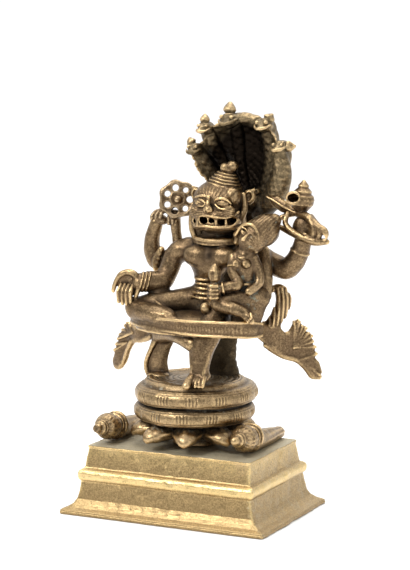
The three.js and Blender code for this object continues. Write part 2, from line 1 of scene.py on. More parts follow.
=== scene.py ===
# %% [markdown]
# # A lion-headed god and his consort on a coiled serpent, cast in brass
# The real piece was modelled in wax, invested in clay and poured in brass, so its forms run softly into
# each other, while lines chased into the cold metal are crisp. This lesson works the same way: each part
# of the figure is a block of small cells that hold the distance to the metal, forms are added and cut
# like wax, and one surface is drawn round the result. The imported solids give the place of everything.

import math

import bpy
import numpy as np
import openvdb
from mathutils import Euler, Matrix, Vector


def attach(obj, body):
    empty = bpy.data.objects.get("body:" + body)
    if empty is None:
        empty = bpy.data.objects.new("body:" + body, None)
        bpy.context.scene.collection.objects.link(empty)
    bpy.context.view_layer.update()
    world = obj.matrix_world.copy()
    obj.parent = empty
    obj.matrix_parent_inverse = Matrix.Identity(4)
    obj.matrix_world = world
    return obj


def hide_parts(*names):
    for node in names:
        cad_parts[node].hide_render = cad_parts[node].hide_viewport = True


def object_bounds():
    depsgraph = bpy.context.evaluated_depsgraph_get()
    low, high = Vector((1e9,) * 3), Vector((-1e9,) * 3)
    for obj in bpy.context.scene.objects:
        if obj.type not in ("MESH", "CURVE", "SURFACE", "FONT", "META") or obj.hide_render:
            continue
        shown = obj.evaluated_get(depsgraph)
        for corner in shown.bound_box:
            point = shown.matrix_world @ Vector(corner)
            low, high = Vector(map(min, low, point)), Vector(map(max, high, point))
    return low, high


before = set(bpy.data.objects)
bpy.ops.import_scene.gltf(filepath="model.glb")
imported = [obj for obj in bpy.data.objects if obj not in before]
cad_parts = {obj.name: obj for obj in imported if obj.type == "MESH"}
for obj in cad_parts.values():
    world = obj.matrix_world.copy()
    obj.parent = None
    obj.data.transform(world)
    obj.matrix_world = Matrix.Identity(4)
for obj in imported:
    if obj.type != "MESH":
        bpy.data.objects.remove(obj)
cad_low, cad_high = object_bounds()
MM = 0.001
print("solids, mm:", [round(v / MM, 1) for v in (*cad_low, *cad_high)])

# %% [markdown]
# ## Camera
# The view was solved from the corners and mouldings of the plinth: 0.7 m away, turned 26 degrees to the
# right of the front and looking down 8 degrees, through a long lens. The frame is upright, so the lens is
# given against the picture's height.

# %% Camera
PICTURE_HEIGHT = 570
FOCAL_PIXELS = 1924.1
SENSOR = 36
CAMERA_AT = (307.262, -621.335, 181.154)
CAMERA_TURN = 25.957
CAMERA_DOWN = 8.026

camera = bpy.data.objects.new("camera", bpy.data.cameras.new("camera"))
camera.data.sensor_fit = "VERTICAL"
camera.data.sensor_height = SENSOR
camera.data.lens = FOCAL_PIXELS / PICTURE_HEIGHT * SENSOR
camera.data.clip_start = 0.01
camera.location = [v * MM for v in CAMERA_AT]
camera.rotation_euler = (math.radians(90 - CAMERA_DOWN), 0, math.radians(CAMERA_TURN))
bpy.context.scene.collection.objects.link(camera)
bpy.context.scene.camera = camera
print("lens, mm:", round(camera.data.lens, 1))

# %% [markdown]
# ## Shader maths
# A finish is a small tree of nodes. Writing it as Python sums keeps it readable, so this class wraps a
# socket and adds a Math node for each operator. Anything that isn't a sum comes from `node`, which takes
# the node's type, its settings and what goes into its sockets.


# %% A class for values in a material
class Value:
    def __init__(self, finish, socket):
        self.finish = finish
        self.socket = socket

    def _math(self, operation, *others):
        made = self.finish.node("ShaderNodeMath", {"operation": operation}, dict(enumerate((self, *others))))
        return made.out(0)

    def __add__(self, other):
        return self._math("ADD", other)

    __radd__ = __add__

    def __mul__(self, other):
        return self._math("MULTIPLY", other)

    __rmul__ = __mul__

    def __sub__(self, other):
        return self._math("SUBTRACT", other)

    def __rsub__(self, other):
        return (self * -1) + other

    def __pow__(self, other):
        return self._math("POWER", other)

    def most(self, other):
        return self._math("MAXIMUM", other)

    def least(self, other):
        return self._math("MINIMUM", other)

    def ramp(self, low, high):
        """0 below low, 1 above high and a smooth rise between them."""
        settings = {"interpolation_type": "SMOOTHSTEP"}
        made = self.finish.node("ShaderNodeMapRange", settings, {"Value": self, "From Min": low, "From Max": high})
        return made.out("Result")


class Made:
    def __init__(self, finish, node):
        self.finish = finish
        self.node = node

    def out(self, name):
        return Value(self.finish, self.node.outputs[name])


class Nodes:
    """Adds nodes to a tree by node(), and reads kept numbers, places and noise."""

    def __init__(self, tree):
        self.tree = tree

    def node(self, kind, settings=None, sockets=None):
        made = self.tree.nodes.new(kind)
        for name, value in (settings or {}).items():
            setattr(made, name, value)
        self.fill(made, sockets or {})
        return Made(self, made)

    def fill(self, node, sockets):
        for name, value in sockets.items():
            if isinstance(value, Value):
                self.tree.links.new(value.socket, node.inputs[name])
            else:
                node.inputs[name].default_value = value

    def colours(self, share, low, high):
        """Colour low where share is 0 and high where it is 1."""
        sockets = {0: share, 6: low, 7: high}
        return self.node("ShaderNodeMix", {"data_type": "RGBA"}, sockets).out(2)

    def kept(self, name):
        """A number stored on the mesh's points."""
        return self.node("ShaderNodeAttribute", {"attribute_name": name}).out("Fac")

    def place(self):
        """The point's place on the object, in metres."""
        return self.node("ShaderNodeTexCoord").out("Object")

    def noise(self, per_mm, detail=4.0, roughness=0.6, distortion=0.0):
        sockets = {
            "Vector": self.place(),
            "Scale": per_mm / MM,
            "Detail": detail,
            "Roughness": roughness,
            "Distortion": distortion,
        }
        return self.node("ShaderNodeTexNoise", {}, sockets).out(0)

    def cells(self, per_mm, feature="F1"):
        sockets = {"Vector": self.place(), "Scale": per_mm / MM}
        return self.node("ShaderNodeTexVoronoi", {"feature": feature}, sockets).out(0)


class Finish(Nodes):
    """A material with its own tree of nodes."""

    def __init__(self, name):
        self.material = bpy.data.materials.new(name)
        self.material.use_nodes = True
        super().__init__(self.material.node_tree)
        self.shader = Made(self, self.tree.nodes["Principled BSDF"])


# %% [markdown]
# ## Working in wax
# A block of cells holds, in millimetres, how far each cell is from the metal, and less than zero inside
# it. Adding a form keeps the smaller distance, and a small blend rounds the joint as a thumb would.
# A coarse block of the whole object is filled at the same time, to know later which places lie deep.


# %% A block of wax
FAR = 4.0
PAD = 1.8
COARSE = 0.75
QUICK = 1.0


def soft_least(a, b, blend):
    near = np.maximum(blend - np.abs(a - b), 0) / blend
    return np.minimum(a, b) - near * near * blend * 0.25


class Wax:
    def __init__(self, low, high, cell, twin=None):
        self.cell = cell
        self.low = np.array(low, float)
        self.count = np.ceil((np.array(high, float) - self.low) / cell).astype(int) + 1
        self.gap = np.full(self.count, FAR, np.float32)
        self.twin = twin

    def window(self, low, high, pad=PAD):
        first = np.clip(np.floor((np.array(low) - pad - self.low) / self.cell).astype(int), 0, self.count)
        last = np.clip(np.ceil((np.array(high) + pad - self.low) / self.cell).astype(int) + 1, 0, self.count)
        at = tuple(slice(a, b) for a, b in zip(first, last))
        x, y, z = (
            (self.low[i] + self.cell * np.arange(first[i], last[i])).astype(np.float32) for i in range(3)
        )
        return at, x[:, None, None], y[None, :, None], z[None, None, :]

    def add(self, form, blend=0.5):
        low, high, distance = form
        at, x, y, z = self.window(low, high)
        if min(x.size, y.size, z.size):
            self.gap[at] = soft_least(self.gap[at], distance(x, y, z), blend)
        if self.twin:
            self.twin.add(form, blend)

    def cut(self, form, blend=0.2):
        low, high, distance = form
        at, x, y, z = self.window(low, high)
        if min(x.size, y.size, z.size):
            self.gap[at] = -soft_least(-self.gap[at], distance(x, y, z), blend)
        if self.twin:
            self.twin.cut(form, blend)

    def chase(self, low, high, depth):
        """Lines cut into the surface, or raised where depth is below zero."""
        at, x, y, z = self.window(low, high, 0)
        self.gap[at] += depth(x, y, z)

    def sample(self, values, points):
        """Values of a block of cells read at points in mm."""
        at = (points - self.low) / self.cell
        at = np.clip(at, 0, np.array(values.shape) - 1.001)
        base = at.astype(int)
        part = at - base
        total = np.zeros(len(points))
        for corner in np.ndindex(2, 2, 2):
            share = np.prod(np.where(corner, part, 1 - part), axis=1)
            total += share * values[tuple((base + corner).T)]
        return total

    def fullness(self, reach):
        """How much metal lies within reach of each cell: a half on a flat face, more in a hollow."""
        full = np.clip(0.5 - self.gap / self.cell, 0, 1)
        steps = max(1, int(round(reach / self.cell)))
        for axis in range(3):
            for _ in range(2):
                full = blurred(full, axis, steps)
        return full


def blurred(values, axis, steps):
    width = 2 * steps + 1
    pads = [(steps + 1, steps) if i == axis else (0, 0) for i in range(3)]
    total = np.cumsum(np.pad(values, pads, mode="edge"), axis=axis, dtype=np.float64)
    high = np.take(total, np.arange(width, total.shape[axis]), axis=axis)
    low = np.take(total, np.arange(0, total.shape[axis] - width), axis=axis)
    return ((high - low) / width).astype(np.float32)


whole = Wax(np.array(cad_low) / MM - 2, np.array(cad_high) / MM + 2, COARSE)
print("coarse block:", whole.gap.shape)

# %% [markdown]
# ## Forms
# Four kinds of form make the whole figure: a ball stretched to three radii, a limb that runs along a
# smooth curve with round or flattened sections, a piece turned on a lathe, and an upright plate cut to
# an outline. Each one returns the box that it fills and a function that measures distances to it.


# %% Balls and limbs
def ball(centre, radii, turn=(0, 0, 0)):
    centre = np.array(centre, float)
    rx, ry, rz = radii
    m = np.array(Euler([math.radians(a) for a in turn]).to_matrix(), float)
    reach = np.sqrt((m * m) @ np.square(radii))

    def distance(x, y, z):
        dx, dy, dz = x - centre[0], y - centre[1], z - centre[2]
        u = (m[0, 0] * dx + m[1, 0] * dy + m[2, 0] * dz) / rx
        v = (m[0, 1] * dx + m[1, 1] * dy + m[2, 1] * dz) / ry
        w = (m[0, 2] * dx + m[1, 2] * dy + m[2, 2] * dz) / rz
        near = np.sqrt(u * u + v * v + w * w)
        slope = np.sqrt((u / rx) ** 2 + (v / ry) ** 2 + (w / rz) ** 2)
        return near * (near - 1) / np.maximum(slope, 1e-6)

    return centre - reach, centre + reach, distance


def curve_through(points, count):
    """A smooth curve through the points, in count equal steps of its own measure."""
    p = np.array(points, float)
    p = np.vstack([2 * p[0] - p[1], p, 2 * p[-1] - p[-2]])
    spans = len(p) - 3
    t = np.linspace(0, spans, count + 1)
    i = np.minimum(t.astype(int), spans - 1)
    f = (t - i)[:, None]
    a, b, c, d = p[i], p[i + 1], p[i + 2], p[i + 3]
    return 0.5 * (2 * b + (c - a) * f + (2 * a - 5 * b + 4 * c - d) * f**2 + (3 * b - a - 3 * c + d) * f**3)


def limb(points, radii, flat=1.0, across=(0, 0, 1), steps=None):
    """Sections along a curve: across is the direction of the wider radius, flat the thin one over it."""
    count = steps or 5 * (len(points) - 1)
    path = curve_through(points, count)
    size = np.interp(np.linspace(0, 1, count + 1), np.linspace(0, 1, len(radii)), radii)
    widest = max(radii)

    def distance(x, y, z):
        out = np.full((x.size, y.size, z.size), FAR, np.float32)
        axes = (x.ravel(), y.ravel(), z.ravel())
        for i in range(count):
            a, b = path[i], path[i + 1]
            low = np.minimum(a, b) - widest - PAD
            high = np.maximum(a, b) + widest + PAD
            cut = [slice(*np.searchsorted(axes[k], (low[k], high[k]))) for k in range(3)]
            dx, dy, dz = x[cut[0]] - a[0], y[:, cut[1]] - a[1], z[:, :, cut[2]] - a[2]
            if 0 in (dx.size, dy.size, dz.size):
                continue
            e = b - a
            along = np.clip((dx * e[0] + dy * e[1] + dz * e[2]) / (e @ e), 0, 1)
            qx, qy, qz = dx - along * e[0], dy - along * e[1], dz - along * e[2]
            r = size[i] + (size[i + 1] - size[i]) * along
            square = qx * qx + qy * qy + qz * qz
            if flat == 1:
                d = np.sqrt(square) - r
            else:
                thin = np.cross(e, across)
                thin /= np.linalg.norm(thin)
                n = (qx * thin[0] + qy * thin[1] + qz * thin[2]) ** 2
                rest = np.maximum(square - n, 0)
                near = np.sqrt(rest + n / flat**2) / r
                slope = np.sqrt(rest + n / flat**4) / r**2
                d = near * (near - 1) / np.maximum(slope, 1e-6)
            spot = out[cut[0], cut[1], cut[2]]
            np.minimum(spot, d, out=spot)
        return out

    return path.min(0) - widest, path.max(0) + widest, distance


# %% Turned pieces and plates
def outline_distance(outline, u, v, closed=True):
    """Distance from (u, v) to an outline, below zero inside it."""
    shape = np.broadcast_shapes(u.shape, v.shape)
    square = np.full(shape, FAR * FAR * 9, np.float32)
    inside = np.zeros(shape, bool)
    for i, (ax, ay) in enumerate(outline):
        bx, by = outline[(i + 1) % len(outline)]
        ex, ey = bx - ax, by - ay
        if closed or i + 1 < len(outline):
            t = np.clip(((u - ax) * ex + (v - ay) * ey) / (ex * ex + ey * ey), 0, 1)
            square = np.minimum(square, (u - ax - t * ex) ** 2 + (v - ay - t * ey) ** 2)
        if ay != by:
            inside ^= ((ay > v) != (by > v)) & (u < ex * (v - ay) / ey + ax)
    return np.where(inside, -1, 1) * np.sqrt(square)


def unit(v):
    v = np.array(v, float)
    return v / np.linalg.norm(v)


def turned(profile, foot, head=None):
    """A lathe piece: [radius, height] points from axis to axis, leaning from foot towards head."""
    foot = np.array(foot, float)
    axis = unit(np.array(head) - foot) if head is not None else np.array([0.0, 0.0, 1.0])
    heights = [h for _, h in profile]
    radius = max(r for r, _ in profile)
    ends = np.array([foot + axis * min(heights), foot + axis * max(heights)])
    side = radius * np.sqrt(1 - axis**2)

    def distance(x, y, z):
        dx, dy, dz = x - foot[0], y - foot[1], z - foot[2]
        h = dx * axis[0] + dy * axis[1] + dz * axis[2]
        r = np.sqrt(np.maximum(dx * dx + dy * dy + dz * dz - h * h, 0))
        return outline_distance(profile, r, h, closed=False)

    return ends.min(0) - side, ends.max(0) + side, distance


def plate(outline, root, along, thickness, bow=0.0):
    """An upright plate: its outline in [distance along, height], its middle plane through root."""
    way = unit([*along, 0])
    out = np.array([way[1], -way[0], 0])
    s = [p[0] for p in outline]
    heights = [p[1] for p in outline]
    ends = np.array([[root[0] + way[0] * t, root[1] + way[1] * t] for t in (min(s), max(s))])
    low = np.array([*ends.min(0) - thickness - abs(bow), min(heights)])
    high = np.array([*ends.max(0) + thickness + abs(bow), max(heights)])
    edge = thickness * 0.45

    def distance(x, y, z):
        dx, dy = x - root[0], y - root[1]
        t = dx * way[0] + dy * way[1]
        level = bow * np.sin(t * 0.45) if bow else 0
        n = np.abs(dx * out[0] + dy * out[1] - level) - thickness / 2 + edge
        face = outline_distance(outline, t, z) + edge
        outside = np.sqrt(np.maximum(face, 0) ** 2 + np.maximum(n, 0) ** 2)
        return outside + np.minimum(np.maximum(face, n), 0) - edge

    return low, high, distance


# %% [markdown]
# ## From wax to metal
# The surface is drawn where the distance is zero. Crumbs that lie loose are dropped, the mesh is thinned
# where it is flat, and numbers are kept on each point: `rub`, which is high where hands polish the metal,
# and `fold`, which is high in grooves and creases, where the finish lays dirt and painted shade. `deep`, for
# whole hollows, follows at the end.

# %% Casting a piece
pieces = []


def largest_body(points, quads):
    label = np.arange(len(points))
    while True:
        least = label[quads].min(1)
        new = label.copy()
        np.minimum.at(new, quads.ravel(), np.repeat(least, 4))
        new = new[new]
        if (new == label).all():
            break
        label = new
    values, counts = np.unique(label, return_counts=True)
    keep = label == values[counts.argmax()]
    quads = quads[keep[quads[:, 0]]]
    index = np.cumsum(keep) - 1
    return points[keep], index[quads]


def mesh_of(name, points, faces):
    mesh = bpy.data.meshes.new(name)
    mesh.from_pydata((points * MM).tolist(), [], faces.tolist())
    mesh.update()
    return mesh


def points_of(mesh):
    co = np.empty(len(mesh.vertices) * 3)
    mesh.vertices.foreach_get("co", co)
    return co.reshape(-1, 3) / MM


def thinned(piece, most_triangles):
    triangles = sum(len(p.vertices) - 2 for p in piece.data.polygons)
    share = min(1, most_triangles / triangles)
    thin = piece.modifiers.new("thin", "DECIMATE")
    thin.ratio = share
    thin.use_collapse_triangulate = True
    shown = piece.evaluated_get(bpy.context.evaluated_depsgraph_get())
    mesh = bpy.data.meshes.new_from_object(shown)
    piece.modifiers.clear()
    piece.data = mesh
    return piece


def keep_number(mesh, name, values):
    attribute = mesh.attributes.get(name) or mesh.attributes.new(name, "FLOAT", "POINT")
    attribute.data.foreach_set("value", np.asarray(values, np.float32))


def weights(count, cell, size, total):
    """How much each of the total random numbers counts at each cell, along one axis."""
    at = np.arange(count) * cell / size
    base = at.astype(int)
    part = at - base
    part = part * part * (3 - 2 * part)
    share = np.zeros((count, total), np.float32)
    share[np.arange(count), base] = 1 - part
    share[np.arange(count), base + 1] = part
    return share


def bumps(wax, size, height, seed, above=None):
    """Uneven wax, of about the given height and size, or only pits where it rises above a level."""
    totals = [int(count * wax.cell / size) + 3 for count in wax.count]
    field = np.random.default_rng(seed).normal(size=totals).astype(np.float32)
    for axis in range(3):
        share = weights(wax.count[axis], wax.cell, size, totals[axis])
        field = np.moveaxis(np.tensordot(share, field, (1, axis)), 0, axis)
    if above is not None:
        field = np.maximum(field - above, 0)
    wax.gap += field * height


def cast(name, wax, most_triangles, node="narasimha_group", uneven=0.07):
    bumps(wax, 2.6, uneven, len(name))
    bumps(wax, 0.9, uneven * 0.35, len(name) + 1)
    bumps(wax, 0.8, 0.22, len(name) + 2, 2.1)
    grid = openvdb.FloatGrid(FAR)
    grid.copyFromArray(wax.gap)
    points, quads = grid.convertToQuads(isovalue=0.0)
    points, quads = largest_body(points.astype(float), quads.astype(int))
    piece = bpy.data.objects.new(name, mesh_of(name, points * wax.cell + wax.low, quads))
    bpy.context.scene.collection.objects.link(piece)
    thinned(piece, most_triangles)
    piece.data.name = name
    spots = points_of(piece.data)
    keep_number(piece.data, "rub", 1 - wax.sample(wax.fullness(0.45), spots))
    keep_number(piece.data, "fold", wax.sample(wax.fullness(1.1), spots))
    piece.data.shade_smooth()
    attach(piece, "root")
    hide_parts(node)
    pieces.append(piece)
    print(name, "triangles", len(piece.data.polygons), "box", spots.min(0).round(1), spots.max(0).round(1))
    return piece


# %% [markdown]
# ## The plinth
# The base is a stepped block: a flared foot, a plain lower wall, a rounded moulding and a plain upper
# wall. It was finished with a file, so the faces are nearly flat but never quite. Rings of points follow
# the mouldings, and a slow ripple moves them by a tenth of a millimetre.

# %% Plinth
PLINTH_TOP = 25
PLINTH_STEPS = [
    # height, half width, half depth
    (0, 40.6, 28.2), (0.35, 41, 28.6), (1.0, 41, 28.6), (1.25, 40.75, 28.4), (1.55, 40.9, 28.5),
    (1.9, 40.3, 28.1), (2.6, 38.4, 27.0), (3.9, 36.5, 25.9), (5.7, 35.2, 25.0), (9, 34.5, 24.5),
    (12.0, 34.0, 24.1), (12.3, 34.2, 24.2), (12.8, 34.9, 24.5), (13.6, 35.2, 24.7), (15.0, 35.15, 24.6),
    (15.9, 34.8, 24.2), (16.4, 34.2, 23.6), (16.8, 33.3, 22.7), (17.3, 33.1, 22.4), (24.0, 32.4, 21.2),
    (24.25, 32.65, 21.35), (24.7, 32.75, 21.45), (PLINTH_TOP, 32.5, 21.2),
]
CORNER = 0.9


def ripple(points, wave, seed, count=9):
    """A slow, even ripple of height about one, by waves in directions that the seed picks."""
    rng = np.random.default_rng(seed)
    total = np.zeros(len(points))
    for _ in range(count):
        way = unit(rng.normal(size=3)) / (wave * rng.uniform(0.6, 1.6))
        total += np.sin(2 * np.pi * points @ way + rng.uniform(0, 2 * np.pi))
    return total / math.sqrt(count / 2)


def plinth_ring(z, a, b, spacing=0.7):
    """Points round a rectangle with rounded corners, the same number for every size."""
    long, deep = PLINTH_STEPS[1][1:]
    across, back = int(2 * long / spacing), int(2 * deep / spacing)
    turn = np.linspace(0, np.pi / 2, 5)[1:]
    points = []
    for (sx, sy), start, count in (((1, -1), -90, back), ((1, 1), 0, across), ((-1, 1), 90, back), ((-1, -1), 180, across)):
        corner = np.array([sx * (a - CORNER), sy * (b - CORNER)])
        angle = math.radians(start) + turn
        arc = corner + CORNER * np.stack([np.cos(angle), np.sin(angle)], 1)
        points.append(arc)
        following = {(1, -1): (1, 1), (1, 1): (-1, 1), (-1, 1): (-1, -1), (-1, -1): (1, -1)}[(sx, sy)]
        goal = np.array([following[0] * (a - CORNER), following[1] * (b - CORNER)])
        goal = goal + CORNER * np.array([math.cos(angle[-1]), math.sin(angle[-1])])
        share = np.linspace(0, 1, count + 2)[1:-1, None]
        points.append(arc[-1] * (1 - share) + goal * share)
    flat = np.vstack(points)
    return np.column_stack([flat, np.full(len(flat), z)])


def plinth_rings():
    steps = np.array(PLINTH_STEPS)
    far = np.concatenate([[0], np.cumsum(np.hypot(np.diff(steps[:, 0]), np.diff(steps[:, 1])))])
    spots = np.unique(np.concatenate([np.arange(0, far[-1], 0.45), far]).round(3))
    return [plinth_ring(*(np.interp(s, far, steps[:, k]) for k in range(3))) for s in spots]


def plinth_body():
    rings = plinth_rings()
    shrink = np.linspace(1, 0.02, 30)[1:]
    rings = [rings[0] * [s, s, 1] for s in shrink[::-3]] + rings + [rings[-1] * [s, s, 1] for s in shrink]
    n = len(rings[0])
    points = np.vstack(rings)
    wave = ripple(points, 14, 3) * 0.12 + ripple(points, 4.5, 4) * 0.06 + ripple(points, 1.6, 5) * 0.03
    outward = points[:, :2] / np.linalg.norm(points[:, :2], axis=1, keepdims=True)
    points[:, :2] += outward * wave[:, None] * 0.8
    top = points[:, 2] > PLINTH_TOP - 0.01
    points[top, 2] += np.minimum(0, ripple(points[top], 5, 6) * 0.1 + ripple(points[top], 1.7, 7) * 0.07 - 0.08)
    faces = []
    for r in range(len(rings) - 1):
        low, high = r * n + np.arange(n), (r + 1) * n + np.arange(n)
        faces.append(np.column_stack([low, np.roll(low, -1), np.roll(high, -1), high]))
    mesh = bpy.data.meshes.new("plinth_body")
    ends = [np.arange(n)[::-1].tolist(), ((len(rings) - 1) * n + np.arange(n)).tolist()]
    mesh.from_pydata((points * MM).tolist(), [], np.vstack(faces).tolist() + ends)
    mesh.update()
    piece = bpy.data.objects.new("plinth_body", mesh)
    bpy.context.scene.collection.objects.link(piece)
    steps = np.array(PLINTH_STEPS)
    wear_heights = [0, 1, 2.4, 12.2, 13.5, 15.5, 16.9, 24, 24.6, 25]
    wear = [0.36, 0.38, 0.36, 0.44, 0.58, 0.56, 0.42, 0.5, 0.5, 0.42]
    from_side = abs(abs(points[:, 0]) - np.interp(points[:, 2], steps[:, 0], steps[:, 1]))
    from_end = abs(abs(points[:, 1]) - np.interp(points[:, 2], steps[:, 0], steps[:, 2]))
    corner = np.exp(-((np.maximum(from_side, from_end) / 0.9) ** 2))
    keep_number(mesh, "rub", np.where(top, 0.46, np.interp(points[:, 2], wear_heights, wear) + 0.15 * corner))
    side = (points[:, 0] > 32) & (from_side < 1.5)
    keep_number(mesh, "powder", np.where(top, 0.85, side * 0.45))
    mesh.shade_smooth()
    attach(piece, "root")
    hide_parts("plinth")
    pieces.append(piece)
    print("plinth_body points", len(points))
    return piece


plinth_piece = plinth_body()
whole.add((np.array([-34, -23, 0]), np.array([34, 23, PLINTH_TOP]), lambda x, y, z: np.maximum(np.maximum(abs(x) - 33, abs(y) - 22), z - PLINTH_TOP)), 0.1)

# %% [markdown]
# ## Bud-ended bars
# Two bars lie along the sides of the plinth. Each ends in front in a ball like a bud, with a knob and
# rings, chased all over, and its rod tapers to the back with shallow flutes.

# %% Bars
BARS = {"left_bar": (-28.2, -5.6), "right_bar": (25.8, -3)}


def bud_bar(name, x, y):
    wax = Wax((x - 6, -22.6, 24.9), (x + 6, 22.4, 36.6), 0.25 * QUICK, whole)
    wax.add(limb([[x, y - 2.4, 29.1], [x, 7, 28.2], [x, 19.8, 27.3]], [4.1, 3.3, 2.3]), 0.6)

    def flutes(px, py, pz):
        angle = np.arctan2(px - x, pz - 28.2)
        return 0.2 * (0.5 + 0.5 * np.cos(angle * 9)) * (py > y + 2.2)

    wax.chase((x - 6, y + 1, 24.9), (x + 6, 22, 36), flutes)
    foot, head = (x, y, 30.4), (x, y - 17, 31.8)
    wax.add(turned([[0, 0.2], [4.6, 0.6], [5.0, 1.6], [4.9, 2.6], [0, 2.8]], foot, head), 0.2)
    wax.add(turned([[0, 2.2], [4.0, 2.6], [4.2, 3.6], [0, 4]], foot, head), 0.2)
    centre = np.array(foot) + unit(np.subtract(head, foot)) * 8
    wax.add(ball(centre, (5, 5.2, 4.9)), 0.3)

    def chasing(px, py, pz):
        along = py - centre[1]
        angle = np.arctan2(px - x, pz - centre[2])
        net = np.cos(angle * 9 + along * 1.6) * np.cos(angle * 9 - along * 1.6)
        return 0.18 * np.clip(net, 0, 1) * (abs(along) < 4.4)

    wax.chase(centre - 5.8, centre + 5.8, chasing)
    wax.add(turned([[0, 11.8], [2.6, 12.1], [2.8, 12.8], [2.0, 13.2], [0, 13.4]], foot, head), 0.2)
    wax.add(turned([[0, 12.6], [2.3, 13.2], [2.5, 14.2], [1.7, 14.9], [0, 15.1]], foot, head), 0.2)
    wax.add(ball(np.array(foot) + unit(np.subtract(head, foot)) * 15.9, (1.7, 1.7, 1.7)), 0.3)
    wax.cut((np.array([-60, -60, 10]), np.array([60, 60, 25]), lambda px, py, pz: pz - PLINTH_TOP + 0 * px + 0 * py), 0.1)
    return cast(name, wax, 26000, "plinth")


for bar_name, (bar_x, bar_y) in BARS.items():
    bud_bar(bar_name, bar_x, bar_y)

# %% [markdown]
# ## Lotus and coils
# Under the serpent is a lotus whose petals droop between its coils and the plinth, each with a boss near
# its tip. The serpent lies in two thick coils and a thinner one, with a grooved disc on top. Its skin is
# chased with two lines and groups of short strokes.

# %% Lotus and coils
COIL_X = 0.9
COIL_RADIUS = 19.2
COIL_THICK = 3.45
PETALS = 9
FIRST_PETAL = -24
SHORT_PETAL = 3
SHORT_SHARE = 0.87
STROKE_GROUPS = 13


def ring_form(radius, height, thick, x=COIL_X, sway=0.0, seed=0.0, squash=1.0):
    def distance(px, py, pz):
        angle = np.arctan2(px - x, -py)
        r = np.sqrt((px - x) ** 2 + py**2) - radius - sway * np.sin(2 * angle + seed) - 0.5 * sway * np.sin(5 * angle + 2 * seed)
        h = (pz - height - 0.6 * sway * np.sin(angle + 3 * seed)) / squash
        return np.sqrt(r * r + h * h) - thick

    reach = radius + thick + 1
    return np.array([x - reach, -reach, height - thick - 1]), np.array([x + reach, reach, height + thick + 1]), distance


def petal(wax, k):
    angle = math.radians(FIRST_PETAL + k * 360 / PETALS)
    share = SHORT_SHARE if k == SHORT_PETAL else 1

    def out(r, z, side=0.0):
        r = r * share
        return [
            COIL_X + r * math.sin(angle) + side * math.cos(angle),
            -r * math.cos(angle) + side * math.sin(angle),
            z,
        ]

    across = [math.cos(angle), math.sin(angle), 0]
    wax.add(limb([out(10, 31.6), out(14.8, 31.2), out(18.6, 30.7), out(21.2, 30.0), out(22.9, 28.6)],
                 [4.6, 5.2, 4.4, 2.8, 0.6], 0.66, across), 0.4)
    wax.add(limb([out(15, 34.0), out(19, 33.2), out(22.4, 30.4)], [1.1, 1.2, 0.6]), 0.5)
    for side in (-1, 1):
        rim = [out(14, 31.6, side * 4.9), out(18.2, 31.1, side * 4.1), out(20.8, 30.3, side * 2.5), out(22.8, 28.9, side * 0.4)]
        wax.add(limb(rim, [0.8, 0.9, 0.8, 0.5]), 0.3)
    wax.add(ball(out(20.7, 31.7), (1.6, 1.6, 1.3)), 0.2)


def lotus_and_coils():
    wax = Wax((-24.6, -24.8, 25.3), (25.8, 24.8, 51.2), 0.27 * QUICK, whole)
    wax.add(turned([[0, 0], [8.6, 0], [8.2, 1.6], [12, 6], [15.4, 9.4], [0, 10.4]], (COIL_X, 0, PLINTH_TOP + 0.3)), 0.3)
    for k in range(PETALS):
        petal(wax, k)
    wax.add(turned([[0, 34.9], [17, 34.9], [18, 38], [20.6, 41.1], [18, 44], [17.2, 48.2], [14.6, 49.3], [0, 49.8]],
                   (COIL_X, 0, 0)), 0.2)
    wax.add(ring_form(COIL_RADIUS - 0.1, 37.7, COIL_THICK, COIL_X - 0.3, 0.22, 0.4, 0.96), 0.3)
    wax.add(ring_form(COIL_RADIUS, 44.3, COIL_THICK + 0.05, COIL_X + 0.25, 0.25, 1.9, 1.0), 0.3)
    wax.add(ring_form(16.5, 46.9, 2.9, COIL_X + 0.2, 0.25, 0.9), 0.12)

    def skin(px, py, pz):
        angle = np.arctan2(px - COIL_X, -py)
        r = np.sqrt((px - COIL_X) ** 2 + py**2)
        depth = 0 * angle + 0 * pz
        seam = 41.05 + 0.35 * np.sin(2 * angle + 1) + 0.15 * np.sin(5 * angle)
        depth = depth + (r > 18) * 0.75 * np.exp(-(((pz - seam) / 0.34) ** 2)) * (0.75 + 0.25 * np.sin(3 * angle + 2))
        for height, low in ((37.8, -0.62), (44.3, -0.6)):
            tilt = np.arctan2(pz - height, r - COIL_RADIUS)
            outer = (r > COIL_RADIUS - 1) & (abs(pz - height) < COIL_THICK)
            wander = 0.05 * np.sin(4 * angle + height)
            for line, deep in ((low, 0.26), (0.66, 0.2), (0.92, 0.14)):
                depth = depth + outer * deep * np.exp(-(((tilt - line - wander) / 0.05) ** 2))
            turn = (angle / (2 * np.pi) + 0.02 * (height - 37.8)) * STROKE_GROUPS % 1
            group = abs(turn - 0.5) < 0.24
            strokes = np.clip(np.cos(turn * 2 * np.pi * 9), 0, 1) ** 0.7
            band = np.clip(1 - (abs(tilt - 0.02) / 0.5) ** 4, 0, 1)
            depth = depth + outer * group * strokes * band * 0.3
        flat_top = pz > 47.6
        for groove in (6.2, 8.4, 10.3, 12.1, 13.9, 15.7, 17.1):
            wobble = 0.2 * np.sin(3 * angle + groove)
            depth = depth + flat_top * 0.3 * np.exp(-(((r - groove - wobble) / 0.22) ** 2))
        return depth

    wax.chase((-24.4, -24.6, 33), (25.6, 24.6, 51.2), skin)
    return cast("lotus_and_coils", wax, 120000)


lotus_and_coils()

# %% [markdown]
# ## Neck and hood
# The serpent's neck rises behind the seat and spreads into a cupped hood with five crested heads. Each
# head has its own neck, which runs down the hood as a rounded rib and shows on both sides.

